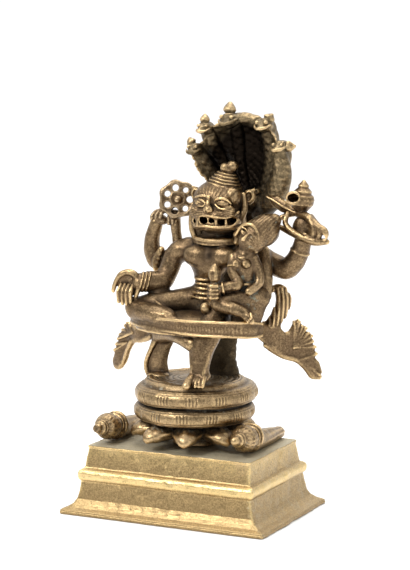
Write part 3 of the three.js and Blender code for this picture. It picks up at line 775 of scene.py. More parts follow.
# %% Neck and hood
HOOD = (14.6, 129.6)
HOOD_RIM = np.array([
    # degrees clockwise from the top, radius, how far back the rim lies
    (-180, 17.5, 13), (-150, 16.2, 11), (-125, 16, 8.2), (-106, 17, 6), (-90, 17.8, 5), (-75, 16.5, 5.6),
    (-64, 15, 7), (-50, 15.6, 8), (-30, 15.4, 8.6), (-8, 16.4, 9), (12, 16.2, 9.6), (30, 15.4, 9.8),
    (48, 15.6, 9.4), (66, 16, 8.4), (82, 18.2, 7.2), (98, 19.6, 6.6), (116, 19, 7), (136, 17.6, 8.6),
    (158, 17.4, 11.4), (180, 17.5, 13),
])
HOOD_DEPTH = 9
HOOD_THICK = 2.2
HOOD_HEADS = [
    # head, tip of its crest, size
    ((-2.0, 5.4, 132.2), (-4.6, 6.4, 136.8), 1),
    ((1.2, 7.2, 139.8), (0.8, 8.6, 145.6), 1),
    ((10.9, 7.4, 143.0), (10.4, 9.4, 149.9), 1.25),
    ((24.2, 8.2, 141.4), (27.0, 10.2, 146.0), 1.1),
    ((30.8, 7.2, 133.9), (36.9, 8.2, 134.6), 1.05),
]
NECK = [(5.5, 11.5, 47.5), (5.5, 12, 54), (6.2, 12.5, 64), (8.5, 13.5, 78), (12, 14.6, 92), (15.2, 15.2, 104), (17.4, 14.6, 114)]


def hood_level(x, z):
    """The middle of the hood's metal at (x, z), the share of the way to the rim, and the slope there."""
    dx, dz = x - HOOD[0], z - HOOD[1]
    angle = np.degrees(np.arctan2(dx, dz))
    radius = np.interp(angle, HOOD_RIM[:, 0], HOOD_RIM[:, 1])
    back = np.interp(angle, HOOD_RIM[:, 0], HOOD_RIM[:, 2])
    share = np.sqrt(dx * dx + dz * dz) / radius
    inner = np.clip(share, 0, 1)
    level = 8 + (back - 8) * inner**1.5 + HOOD_DEPTH * (1 - inner**2.4) + HOOD_THICK / 2
    slope = np.sqrt(1 + (HOOD_DEPTH * 2.4 * inner**1.4 / radius) ** 2)
    return level, share, slope, radius


def hood_shell():
    def distance(x, y, z):
        level, share, slope, radius = hood_level(x, z)
        front = np.abs(y - level) / slope - HOOD_THICK / 2
        return -soft_least(-front, -(share - 1) * radius, 1.0)

    return np.array([-5.5, 4, 110]), np.array([36, 20.5, 148]), distance


def serpent_head(wax, head, tip, size):
    head, tip = np.array(head), np.array(tip)
    way = unit(tip - head)
    length = np.linalg.norm(tip - head)
    wax.add(ball(head + [0, 0.4, 0], (2.9 * size, 2.7 * size, 2.2 * size)), 0.8)
    at = [head + way * size * h for h in (1.4, 2.0)]
    wax.add(turned([[0, -0.4], [1.9 * size, -0.3], [2.1 * size, 0.2], [1.7 * size, 0.6], [0, 0.8]], at[0], tip), 0.2)
    left = length - 2.0 * size
    bud = [[0, -0.3], [1.3 * size, 0], [2.0 * size, left * 0.28], [1.75 * size, left * 0.5], [1.0 * size, left * 0.75],
           [0.4 * size, left * 0.93], [0, left]]
    wax.add(turned(bud, at[1], tip), 0.2)
    snout = head + np.array([0, -3.4, -0.7]) * size
    wax.add(limb([head + [0, -0.6, 0.5], snout], [2.2 * size, 1.15 * size], 0.7, (1, 0, 0)), 0.5)
    lip = [head + np.array(p) * size for p in ((-2.7, -1.2, 0.3), (-1.6, -3.1, -0.5), (0, -4.1, -0.8), (1.6, -3.1, -0.5), (2.7, -1.2, 0.3))]
    wax.add(limb(lip, [0.35 * size, 0.5 * size, 0.6 * size, 0.5 * size, 0.35 * size]), 0.2)
    jaw = [p - np.array([0, -0.5, 1.05]) * size for p in lip]
    wax.cut(limb(jaw, [0.3, 0.42, 0.45, 0.42, 0.3]), 0.2)
    for side in (-1, 1):
        wax.add(ball(head + np.array([side * 1.5, -2.0, 1.1]) * size, (0.7 * size,) * 3), 0.15)


def neck_and_hood():
    wax = Wax((-7.4, 1.6, 46.8), (38.4, 23.2, 150.0), 0.3 * QUICK, whole)
    wax.add(limb(NECK, [8.2, 6, 5.9, 5.6, 5, 4.6, 5], 0.55, (1, 0, 0), 24), 0.6)
    wax.add(hood_shell(), 1.2)
    stem = np.array([16.8, 111.0])
    for k, (head, tip, size) in enumerate(HOOD_HEADS):
        for face in (-1, 1):
            path = []
            for share in np.linspace(0, 1, 7):
                x, z = np.array([head[0], head[2]]) * (1 - share) + stem * share
                bend = (2.6 if k < 4 else 4.2) * math.sin(share * math.pi) * np.sign(head[0] - stem[0])
                level = hood_level(np.array(x + bend), np.array(z))[0]
                path.append([x + bend, float(level) + face * 0.8 + 0.6 * (share < 0.1), z])
            wax.add(limb(path, [2.6, 2.8, 2.5, 2.1, 1.8, 1.5, 1.5], 0.8, (1, 0, 0.2)), 0.4)
        serpent_head(wax, head, tip, size)
    wing = [[30.6, 7.6, 131.5], [31.6, 7.8, 125.5], [29.8, 8.8, 119.4], [25.4, 11.4, 113.4], [20.2, 14, 109]]
    wax.add(limb(wing, [2.6, 3.5, 4.1, 3.6, 3.0]), 0.8)
    crest = [[10.4, 7.8, 142.6], [15.6, 8.6, 144.0], [20.4, 9.0, 143.4], [24.6, 8.8, 141.2]]
    wax.add(limb(crest, [1.6, 2.0, 2.0, 1.6]), 0.8)
    slit = [[23.6, 10.2, 128.6], [22.8, 10.8, 123.6], [21.0, 12.2, 118.2], [19.2, 13.4, 114]]
    wax.cut(limb(slit, [0.5, 0.9, 0.9, 0.5]), 0.5)
    wax.add(ball((20.9, 10.2, 117.8), (1.1, 1.1, 1.1)), 0.2)
    wax.cut(ball((20.7, 8.9, 117.6), (0.45, 0.8, 0.45)), 0.1)

    def scales(px, py, pz):
        level = hood_level(px, pz)[0]
        fan = np.arctan2(px - stem[0], pz - stem[1] + 6)
        far = np.sqrt((px - stem[0]) ** 2 + (pz - stem[1] + 6) ** 2)
        inside = (py < level + 0.4) & (pz > 112)
        return inside * 0.2 * np.clip(np.cos(fan * 40) * np.cos(far * 2.4), -0.2, 1)

    wax.chase((-7.4, 3, 108), (38.4, 23.2, 146), scales)

    def belly(px, py, pz):
        behind = py > np.interp(pz, [p[2] for p in NECK], [p[1] for p in NECK])
        return 0.2 * behind * np.clip(np.cos(pz * 2.4), 0, 1) * (pz > 50)

    wax.chase((-6, 8, 50), (26, 23, 112), belly)
    piece = cast("neck_and_hood", wax, 110000, uneven=0.12)
    spots = points_of(piece.data)
    level, share, _, _ = hood_level(spots[:, 0], spots[:, 2])
    cup = (spots[:, 1] < level + 0.8) & (spots[:, 2] > 110)
    # Painted shade: the inside of the hood's cup is darkened, less towards its right edge, and so is the neck behind
    # the seat.
    painted_hood_shade = cup * np.clip((0.98 - share) / 0.3, 0, 1) * np.clip((27.5 - spots[:, 0]) / 7, 0.15, 1)
    neck = (spots[:, 2] < 112) * np.clip((spots[:, 2] - 46) / 4, 0, 1) * 0.75
    keep_number(piece.data, "painted_hood_shade", np.maximum(painted_hood_shade, neck))
    return piece


neck_and_hood()

# %% [markdown]
# ## Seat and sash
# The seat is an oval board with a strap round its front, edged by two cords of wax, on one curved leg.
# From under it two frilled sash ends sweep out and back, and a pleated loop stands on the right hip.

# %% Seat and sash
STRAP = [
    # x, y, middle height, half height
    (-23.6, -3, 70.4, 1.8), (-19.6, -7, 70.4, 1.9), (-12, -11.2, 70.4, 2.1), (0.2, -14.8, 70.5, 2.4),
    (11, -16, 70.5, 2.7), (21.5, -14.6, 70.7, 2.75), (27, -10, 70.3, 2.9), (28.6, -3.5, 69.6, 2.3),
]
RIGHT_TAIL = [
    (-3, 65.6), (0.3, 62.9), (3.7, 60.2), (7.5, 58.1), (11.7, 56.8), (14.7, 54.5), (15.9, 52.9), (17.8, 50.3),
    (20.5, 49.8), (21.7, 51.9), (20.5, 55.7), (18.7, 57.6), (19.6, 58.8), (18.6, 60.2), (19.2, 61.6),
    (17.9, 62.6), (18.3, 64.2), (16.9, 65), (16.9, 66.9), (15.4, 67.4), (15.2, 69.3), (13.8, 69.7),
    (12.6, 72), (10.8, 70.8), (8.9, 67.6), (7.4, 67.2), (5.9, 68.6), (5.3, 71.4), (-1, 71.6),
]
LEFT_TAIL = [
    (-2, 65.6), (1.6, 62.8), (8, 60.8), (13.8, 59.6), (17, 56), (19.2, 51.9), (22.2, 48.5), (25.4, 47.8),
    (26.9, 50.2), (25.3, 53.2), (25.6, 55), (24, 56), (24.4, 57.8), (22.8, 58.8), (23, 60.6), (21.2, 61.4),
    (21.2, 63.4), (19.4, 63.8), (18.8, 65.9), (16.1, 66.9), (14, 65.6), (6, 65.8), (0, 67),
]


def board_form(low_z, high_z):
    def distance(x, y, z):
        u, v = (x - 3) / 24.6, (y + 2) / 13.1
        near = np.sqrt(u * u + v * v)
        slope = np.sqrt((u / 24.6) ** 2 + (v / 13.1) ** 2)
        rim = near * (near - 1) / np.maximum(slope, 1e-6)
        flat = abs(z - (low_z + high_z) / 2) - (high_z - low_z) / 2
        return np.maximum(rim, flat)

    return np.array([-22, -16, low_z]), np.array([28, 12, high_z]), distance


def tail(wax, outline, root, along, ribs):
    wax.add(plate(outline, root, along, 1.8, 0.5), 0.3)
    way = unit([*along, 0])
    out = np.array([way[1], -way[0], 0])
    for start, end in ribs:
        for face in (-1, 1):
            ends = [np.array([root[0], root[1], 0]) + way * s + out * (0.85 * face + 0.5 * math.sin(s * 0.45)) + [0, 0, z]
                    for s, z in (start, end)]
            wax.add(limb(ends, [0.5, 0.62], steps=4), 0.3)


def fan(start, tips):
    return [(start, tip) for tip in tips]


def rim_on_tail(wax, edge, root, along):
    """A thick bright rim round the free edge of a sash end, in [distance along, height]."""
    way = unit([*along, 0])
    path = [np.array([root[0], root[1], 0]) + way * s + [0, 0, z] for s, z in edge]
    wax.add(limb(path, [1.15] * len(path)), 0.3)


def seat_and_sash():
    wax = Wax((-41, -19, 46), (47, 20, 85.4), 0.3 * QUICK, whole)
    wax.add(board_form(66.9, 69.3), 0.3)
    wax.add(ball((2, -3, 71.2), (15, 9.6, 3.4)), 0.8)
    spine = [row[:3] for row in STRAP]
    wax.add(limb(spine, [row[3] * 1.08 for row in STRAP], 0.36, (0, 0, 1), 40), 0.5)
    for side, wire in ((1, 0.62), (0.62, 0.3), (-1, 0.55)):
        cord = [(x * 1.02, y * 1.05, z + side * half * 0.9) for x, y, z, half in STRAP]
        wax.add(limb(cord, [wire] * len(cord), steps=50), 0.2)

    def hatching(px, py, pz):
        band = np.clip(1 - (np.abs(pz - 70.1) / 1.7) ** 6, 0, 1)
        return 0.13 * band * (py < -8) * np.clip(np.cos(px * 5.2 + 0.3 * pz), -0.2, 1) * np.clip((px + 4) / 8, 0, 1)

    wax.chase((-6, -19, 67), (28, -6, 73.6), hatching)
    wax.add(limb([[-12.6, -1, 64.2], [-6, -6.6, 65.6], [0.4, -11, 65.6], [6, -12.6, 64]], [3.2, 2.5, 2.5, 3]), 0.8)
    wax.add(limb([[-11.4, 1, 66], [-13.4, 0, 60], [-14.6, -0.4, 54], [-14, 0.4, 47.6]], [4.6, 4.1, 4.1, 4.4], 0.6, (1, 0, 0)), 0.8)
    wax.add(limb([[-11, -2, 67], [-15.6, -2.5, 59.5], [-18.2, -2.4, 52.6], [-16, -2, 46.8]], [0.9, 1, 1, 0.9]), 0.3)
    wax.add(ball((-13.2, -2.2, 49.4), (4.2, 3.2, 1.5)), 0.6)
    right_fan = fan((10.5, 61.5), [(11.2, 70.6), (12.6, 70.8), (13.8, 69.2), (15.2, 68.6), (15.8, 66.6), (17.2, 65.6), (17.6, 63.6), (18.6, 61.6)])
    right_fan += fan((13.2, 57.0), [(19.0, 59.0), (20.2, 51.2)])
    tail(wax, RIGHT_TAIL, (27.5, 3), (0.75, 0.66), right_fan)
    edge = [(0.3, 62.9), (3.7, 60.4), (7.5, 58.3), (11.7, 57.0), (14.7, 54.7), (16.2, 52.9), (18, 50.6), (20.4, 50.3)]
    rim_on_tail(wax, edge, (27.5, 3), (0.75, 0.66))
    left_fan = fan((12.5, 63), [(15.8, 66.2), (17.4, 66.0), (18.8, 64.9), (20.2, 63.2), (21.4, 61.2), (22.6, 59.4)])
    left_fan += fan((17.4, 58.6), [(23.4, 57.2), (24.6, 54.8)])
    tail(wax, LEFT_TAIL, (-16, 0), (-0.88, 0.47), left_fan)
    edge = [(1.6, 63.0), (8, 61.0), (13.8, 59.9), (17.2, 56.2), (19.4, 52.2), (22.4, 49), (25.2, 48.4), (26.2, 50.4), (24.8, 53.2)]
    rim_on_tail(wax, edge, (-16, 0), (-0.88, 0.47))
    loop = [[28.6, 5.4, 83.0], [31.6, 6, 82.8], [33.2, 6, 79.6], [32.4, 5.6, 75.4], [29.6, 4.6, 70.6]]
    wax.add(limb(loop, [1.6, 2.4, 2.9, 2.9, 2.6], 0.8, (0.75, 0.66, 0)), 0.5)

    def pleats(px, py, pz):
        s = (px - 30) * 0.75 + (py - 5) * 0.66
        return 0.42 * np.clip(np.cos(s * 3.9), -0.3, 1)

    wax.chase((29, 1.6, 70), (37, 10, 83.6), pleats)
    wax.add(limb([[27.2, 0.6, 81], [27.4, -0.6, 72]], [1.3, 1.3]), 0.4)
    for k in range(6):
        wax.add(ball((28.2 + 0.2 * k, 0.4 + 0.1 * k, 77.6 - k * 1.3), (0.85, 0.85, 0.7)), 0.15)
    return cast("seat_and_sash", wax, 80000)


seat_and_sash()

# %% [markdown]
# ## The god's body
# A narrow waist swells into a broad chest with a pendant on a necklace. One leg is folded on the seat and
# one hangs down to the coils, ending in a clawed foot. The front left hand droops over the knee, and the
# back arms are raised. All of it is one run of wax, so the limbs grow out of the trunk without a seam.


# %% The god's body
TRUNK = [
    # height, middle x and y, half width, half depth
    (73.0, 4.0, 4.4, 8.6, 6.2), (75, 4, 4.4, 9, 6.6), (78.4, 4.2, 4.2, 8.2, 6), (81.6, 4.2, 4, 5.8, 4.6),
    (84.4, 4.2, 3.8, 4.6, 4), (88, 5, 3.4, 6.2, 4.8), (92, 5.8, 3, 8.8, 5.4), (95.4, 6.4, 3.4, 10.6, 5.2),
    (98, 6.8, 4, 9.2, 4.6), (99.6, 7, 4, 6.2, 4.4), (101.5, 7.4, 3.8, 5.6, 4.4), (104, 8, 3.4, 5.4, 4.4),
]
WRIST_RINGS = 0.62


def stack(rows):
    """A body of oval sections, each given by its height, middle and half sizes."""
    rows = np.array(rows, float)

    def distance(x, y, z):
        cx, cy, a, b = (np.interp(z, rows[:, 0], rows[:, k]) for k in range(1, 5))
        u, v = (x - cx) / a, (y - cy) / b
        near = np.sqrt(u * u + v * v)
        slope = np.sqrt((u / a) ** 2 + (v / b) ** 2)
        side = near * (near - 1) / np.maximum(slope, 1e-6)
        return np.maximum(side * 0.93, np.abs(z - rows[[0, -1], 0].mean()) - np.ptp(rows[:, 0]) / 2)

    low = [(rows[:, 1] - rows[:, 3]).min(), (rows[:, 2] - rows[:, 4]).min(), rows[0, 0]]
    high = [(rows[:, 1] + rows[:, 3]).max(), (rows[:, 2] + rows[:, 4]).max(), rows[-1, 0]]
    return np.array(low), np.array(high), distance


def ring_round(wax, centre, axis, radii, thick, across=(0, 0, 1), blend=0.15):
    """A bangle: a ring of wire round a limb at right angles to its axis."""
    axis = unit(axis)
    u = unit(np.cross(axis, across))
    v = np.cross(axis, u)
    turn = np.linspace(0, 2 * np.pi, 13)
    points = [np.array(centre) + u * radii[0] * math.cos(t) + v * radii[1] * math.sin(t) for t in turn]
    wax.add(limb(points, [thick] * len(points), steps=26), blend)


def folded_leg(wax):
    wax.add(limb([[1, 4, 78], [-7, -0.6, 76.8], [-14, -4, 76.0], [-19, -5.6, 75.2]], [5.2, 4.5, 4.2, 3.6]), 1.5)
    wax.add(ball((-11.6, -8.6, 73.6), (10.6, 4.6, 3.1), (0, 0, -19)), 1.2)
    wax.add(limb([[-20.6, -6.4, 74.8], [-10, -10.2, 73.2], [1, -13.0, 70.8]], [3.7, 3.2, 1.9]), 1.0)
    wax.add(limb([[-20, -6.6, 73.4], [-12, -9.6, 72.4], [-2, -12.6, 70.4]], [3, 2.6, 2]), 1.5)
    hem = [[-13.6, -6.4, 78.4], [-9.0, -8.6, 76.6], [-4.4, -10.8, 74.2], [0.6, -13.0, 71.4]]
    wax.add(limb(hem, [0.35, 0.5, 0.5, 0.4]), 0.5)
    wax.add(ball((10.0, -10.4, 77.0), (1.9, 1.8, 2.1)), 0.4)


def hanging_leg(wax):
    wax.add(limb([[8, 4, 78], [12, -4, 75], [11.4, -9.6, 69.4]], [5.2, 4.8, 4.4]), 1.2)
    shank = [[10.6, -10.4, 67.8], [9.6, -12.4, 62.6], [9.4, -13.6, 57.5], [9.6, -14.2, 53.4]]
    wax.add(limb(shank, [5.5, 4.6, 3.7, 3.2], 0.78, (1, 0, 0)), 0.8)
    wax.add(limb([[4.6, -10.6, 67.6], [6.2, -13.6, 61.8], [7.4, -15.6, 56.0], [7.6, -16.8, 53]], [1.2, 1.0, 0.9, 0.8]), 0.7)
    wax.add(limb([[15, -11, 67], [13.2, -13.4, 62], [12.0, -15.2, 56.8], [11.9, -16.2, 53.6]], [1.0, 0.9, 0.8, 0.7]), 0.7)
    wax.add(limb([[10.2, -13.6, 52.8], [10, -16.4, 51.6]], [3.1, 2.7], 0.7, (1, 0, 0)), 1.0)
    big = [[7.9, -15.6, 53.4], [7.6, -18.2, 51.8], [7.3, -20.2, 50.2]]
    wax.add(limb(big, [1.5, 1.65, 1.45]), 0.3)
    for k in range(3):
        x = 10.0 + 1.25 * k
        wax.add(limb([[x, -16.2, 53.0], [x + 0.2, -18.3 + 0.3 * k, 51.6], [x + 0.2, -19.2 + 0.4 * k, 50.0]], [0.7, 0.72, 0.55]), 0.12)


def chest(wax):
    wax.add(stack(TRUNK), 1.2)
    wax.add(ball((1.6, -0.2, 94.2), (5.4, 3.4, 3.9)), 1.6)
    wax.add(ball((12.2, -0.2, 94.6), (5.4, 3.4, 3.9)), 1.6)
    wax.add(ball((6.8, 0.6, 90.6), (5.6, 3.6, 4.2)), 1.6)
    wax.add(ball((-6.6, 3.4, 95.4), (4.2, 3.8, 3.6)), 1.4)
    wax.add(ball((17.4, 4.4, 95.8), (4.2, 3.8, 3.6)), 1.4)
    for z, reach, wire in ((100.6, 9.0, 0.85), (99.3, 9.6, 0.5)):
        collar = [[8 - reach, 3.4, z + 0.2], [8 - reach * 0.62, -0.6, z - 0.3], [8, -1.9, z - 0.5], [8 + reach * 0.62, -0.6, z - 0.2], [8 + reach, 3.4, z + 0.4]]
        wax.add(limb(collar, [wire] * 5), 0.5)
    wax.add(ball((8, 2.6, 100.2), (8.6, 4.6, 1.7)), 1.0)
    wax.add(limb([[7.3, -3.0, 97.6], [7.5, -4.0, 95.6], [7.6, -3.7, 92.8]], [0.75, 2.0, 0.4], 0.5, (1, 0, 0)), 0.25)
    wax.add(ball((7.4, -3.6, 97.4), (0.75, 0.7, 1.1)), 0.2)
    wax.cut(ball((10.9, -3.2, 97.9), (1.9, 1.5, 0.45), (0, -4, 0)), 0.2)
    for side in (-1, 1):
        hem = [[7 + side * 1.6, -3.2, 91.6], [7 + side * 4.2, -3.0, 90.6], [7 + side * 7.6, -0.6, 92.2]]
        wax.cut(limb(hem, [0.25, 0.35, 0.2]), 0.5)
    for z, a, b, y in ((85.9, 5.3, 4.6, 3.7), (84.2, 4.8, 4.3, 3.8), (82.5, 5.4, 4.6, 3.9), (80.9, 6.5, 5.2, 4), (79.4, 7.7, 5.9, 4)):
        ring_round(wax, (4.3, y, z), (0.04, 0, 1), (a, b), 0.42, (1, 0, 0), 0.35)


def drooping_arm(wax):
    arm = [[-3.6, 4, 96.4], [-9.0, 3.6, 93.6], [-11.2, 2.0, 87.4], [-12.4, -0.6, 84.4], [-15.6, -3.6, 84.3], [-18.6, -6, 84]]
    wax.add(limb(arm, [4, 3.7, 3.6, 3.9, 3.6, 3.4]), 1.6)
    for k in range(3):
        ring_round(wax, (-16.2 - k * 1.1, -4.4 - 0.7 * k, 84.2), (-0.85, -0.5, 0.25), (3.75, 3.75), 0.22, blend=0.4)
    wax.add(limb([[-13.2, -1.6, 82], [-12.4, -3, 78.6]], [2.2, 1.7]), 0.8)
    wax.add(ball((-23.2, -6.9, 83.0), (4.1, 2.3, 4.5)), 0.6)
    arch = [[-19.9, -8.2, 77.6], [-18.6, -8.2, 81.0], [-18.5, -8, 84.2], [-19.6, -7.8, 86.8], [-22, -8, 87.8], [-25.0, -8.2, 86.8],
            [-27.4, -8.4, 83.8], [-28.4, -8.6, 80.6]]
    wax.add(limb(arch, [0.75, 0.95, 1.1, 1.2, 1.25, 1.2, 1.0, 0.7]), 0.3)
    wax.cut(ball((-23.3, -10.2, 83.6), (3.0, 2.0, 3.0)), 0.6)
    for i in range(4):
        x = -25.4 + 1.62 * i
        tip = 77.6 - 1.3 * math.sin(math.pi * (i + 0.5) / 4)
        wax.add(limb([[x + 0.3, -8.6, 83.2], [x + 0.1, -10.3, 80.6], [x, -10.0, tip]], [0.75, 0.85, 0.7]), 0.15)


def raised_arms(wax):
    left = [[-4, 5.6, 96.4], [-11, 7, 92.6], [-17.6, 7.4, 90.2], [-20.2, 7.2, 93.4], [-20.4, 7, 98.6], [-18.2, 6.4, 104.6]]
    wax.add(limb(left, [3.6, 3.6, 3.4, 3.2, 2.8, 2.5]), 1.2)
    for k in range(4):
        wax.add(ball((-15.6 - 0.5 * k, 3.9 - 0.1 * k, 93.6 - 1.7 * k), (1.0, 0.9, 0.9)), 0.25)
    wax.add(limb([[-15.2, 4.4, 95.2], [-17.4, 4.2, 91.4], [-17.2, 4.0, 88.2]], [1.2, 1.4, 1.2]), 0.5)
    wax.add(limb([[-9.6, 7.4, 95.4], [-10.8, 8, 101], [-11.6, 8.4, 107.6]], [2.0, 1.8, 2.1]), 0.8)
    right = [[16, 5.6, 96.6], [22, 6.6, 95.6], [28, 7.4, 92.2], [33.4, 7.2, 90.6], [37.2, 6.6, 93.2], [39.6, 6.2, 97.6], [41, 6, 102]]
    wax.add(limb(right, [4, 3.8, 3.9, 4.0, 3.7, 3.4, 3.0]), 1.2)
    ring_round(wax, (39.4, 6.3, 97.2), (0.35, -0.05, 1), (3.5, 3.5), 0.35, blend=0.4)
    wax.add(limb([[21, 5, 96], [25.6, 4.2, 96.2]], [3, 2.8]), 1.0)
    post = [[25.8, 3.6, 96.2], [27.6, 1.6, 91.8], [28.4, 0.2, 87.4], [28.8, -0.4, 81.4]]
    wax.add(limb(post, [2.7, 2.7, 2.9, 2.4], 0.8, (1, 0.3, 0)), 0.8)
    wax.cut(limb([[25.2, -3.2, 90.2], [28.2, -3.6, 90.0]], [0.8, 0.7]), 0.4)


def god_body():
    wax = Wax((-31, -22, 47.6), (46, 13.6, 108), 0.3 * QUICK, whole)
    chest(wax)
    folded_leg(wax)
    hanging_leg(wax)
    drooping_arm(wax)
    raised_arms(wax)
    return cast("god_body", wax, 150000)


god_body()

# %% [markdown]
# ## The lion head
# The head is a heavy mask: a smooth domed brow, bulging eyes under cut lids, a broad nose, and an open
# mouth whose teeth stand between dark gaps. The cells are finer here, because the face is read first.


# %% The lion head
FACE = (8.6, 110.5)
TOOTH_GAPS = [
    # middle across, forward and up, half width, half height
    (3.1, -4.8, 107.5, 0.8, 0.95), (7.4, -6.4, 108.15, 1.75, 1.5), (10.7, -6.8, 108.1, 1.2, 0.95),
    (14.3, -6.4, 107.7, 1.4, 1.15), (17.6, -4.8, 107.9, 1.5, 1.3),
]
CROWN_FOOT = (10.6, 3.6, 118.7)
CROWN_HEAD = (12.7, 3.9, 128.9)


def eye(wax, ball_at, size, upper, lower, slit):
    """A bulging eyeball between two raised lids, with a slit cut for the pupil."""
    wax.add(ball(ball_at, size), 0.25)
    wax.add(limb(upper, [0.25] + [0.45] * (len(upper) - 2) + [0.3]), 0.25)
    wax.add(limb(lower, [0.25] + [0.42] * (len(lower) - 2) + [0.25]), 0.3)
    wax.cut(limb(slit, [0.18, 0.34, 0.2]), 0.12)


def lion_brow_and_nose(wax):
    """Bulging eyes under low brows, a small broad nose and full cheeks."""
    right_upper = [[11.8, -6.6, 115.2], [12.9, -7.0, 116.0], [15.0, -7.1, 116.3], [16.7, -6.6, 115.7], [17.8, -5.6, 114.4]]
    right_lower = [[12.1, -6.9, 114.0], [13.9, -7.3, 112.8], [15.8, -7.2, 112.5], [17.6, -6.0, 113.4]]
    eye(wax, [14.6, -6.0, 114.4], (2.5, 1.2, 1.35), right_upper, right_lower, [[14.1, -7.3, 113.7], [15.1, -7.4, 113.6], [16.0, -7.2, 113.6]])
    left_upper = [[2.5, -3.6, 114.5], [4.3, -4.8, 115.3], [6.4, -5.8, 115.2], [7.8, -6.2, 114.4]]
    left_lower = [[2.8, -3.8, 113.5], [4.9, -5.2, 113.0], [6.9, -6.0, 113.1], [7.8, -6.2, 113.9]]
    eye(wax, [5.0, -4.6, 114.2], (1.9, 1.2, 1.2), left_upper, left_lower, [[4.8, -5.4, 113.8], [5.9, -5.9, 113.8], [6.8, -6.2, 113.9]])
    wax.add(limb([[3.2, -4.2, 116.0], [6.3, -5.6, 116.8], [9.6, -6.6, 116.7]], [0.4, 0.55, 0.4]), 0.4)
    wax.cut(limb([[16.7, -6.2, 116.2], [18.1, -5.4, 115.0], [19.2, -4.4, 113.3], [19.7, -3.8, 112.4]], [0.2, 0.35, 0.4, 0.3]), 0.4)
    wax.add(limb([[9.3, -6.4, 116.1], [9.3, -6.9, 114.4], [9.3, -7.2, 112.6]], [0.4, 0.7, 1.0], 0.8, (1, 0, 0)), 1.2)
    wax.add(ball([9.5, -7.2, 112.0], (1.9, 1.4, 1.4)), 0.5)
    for nostril in ([9.1, -8.4, 111.4], [11.1, -8.4, 111.7]):
        wax.cut(ball(nostril, (0.35, 0.6, 0.35)), 0.15)
    for cheek in ([16.4, -5.2, 111.7], [3.1, -3.6, 110.9]):
        wax.add(ball(cheek, (2.6, 1.8, 2.1)), 1.0)


def lion_head():
    wax = Wax((-3.6, -10.6, 97.6), (25.4, 13, 130.6), 0.2 * QUICK, whole)
    wax.add(ball((9.3, 2, 114.3), (9.7, 7.9, 7.7)), 0.5)
    wax.add(ball((9.3, 2.4, 108.6), (8.7, 7.2, 7.0)), 1.2)
    wax.add(ball((10.0, -2.2, 109.9), (9.3, 5.3, 3.2)), 1.2)
    wax.add(ball((10.2, -1.8, 107.6), (9.6, 5.2, 3.0)), 1.0)
    wax.add(ball((9.9, -1.6, 105.4), (9.0, 5.0, 1.9)), 0.8)
    wax.cut(ball((9.8, -5.6, 101.9), (8.4, 5.0, 2.2)), 0.7)
    wax.add(ball((16.3, -1.4, 116.5), (3.1, 3.0, 3.6)), 1.0)
    wax.cut(ball((9.8, -1.0, 107.8), (7.4, 3.8, 1.9)), 0.2)
    for x, y, z, a, c in TOOTH_GAPS:
        wax.cut(ball((x, y, z), (a, 4.2, c)), 0.12)
    for x, y, z in ((4.9, -5.7, 107.6), (12.5, -6.5, 107.9), (16.0, -5.7, 108.0)):
        wax.add(limb([[x, y, z + 1.4], [x, y - 0.3, z], [x, y, z - 1.4]], [0.7, 0.42, 0.7]), 0.2)
    upper = [[0.6, -2, 110.2], [4.1, -5.2, 109.3], [8.7, -7.3, 109.9], [12.3, -7.4, 109.5], [15.8, -6.5, 109.3], [18.3, -5.0, 110.0], [19.4, -2.6, 111.3]]
    wax.add(limb(upper, [0.4, 0.5, 0.5, 0.5, 0.5, 0.5, 0.4]), 0.3)
    lower = [[0.6, -2.2, 106.7], [3.6, -4.9, 105.8], [8.1, -6.7, 106.0], [12.2, -6.9, 105.8], [15.8, -6.2, 106.0], [18.2, -4.8, 106.5], [19.4, -2.4, 108.4]]
    wax.add(limb(lower, [0.45, 0.6, 0.6, 0.6, 0.6, 0.55, 0.4]), 0.3)
    lion_brow_and_nose(wax)
    for centre, side in (((20.9, 3.0, 116.2), 1), ((-0.6, 4.6, 116.0), -1)):
        centre = np.array(centre)
        wax.add(ball(centre, (2.4, 1.4, 2.8), (0, side * 22, 0)), 0.4)
        wax.add(limb([centre + [side * 0.4, 0, 1.4], centre + [side * 1.9, 0.2, 2.7]], [1.3, 0.45]), 0.4)
        wax.cut(ball(centre + [side * 0.2, -1.5, 0.2], (1.45, 1.2, 1.8), (0, side * 22, 0)), 0.2)
    locks = [([-0.2, 1.4, 112.5], [-1.0, 1.0, 108], [-0.9, 1.0, 104], [0.4, 2.0, 99.5]),
             ([19.4, 1.4, 117], [19.8, 1.4, 112], [18.6, 0.4, 107], [17.4, 0.2, 100])]
    for lock in locks:
        wax.add(limb(lock, [0.9, 1.15, 1.15, 1.2]), 0.3)
        wax.add(limb([np.add(p, [0.9 if lock[0][0] < 0 else -1.0, 1.0, 0]) for p in lock], [0.9, 1.0, 1.0, 1.0]), 0.3)
    mane(wax, *FACE)
    crown(wax)
    return cast("lion_head", wax, 150000, uneven=0.05)


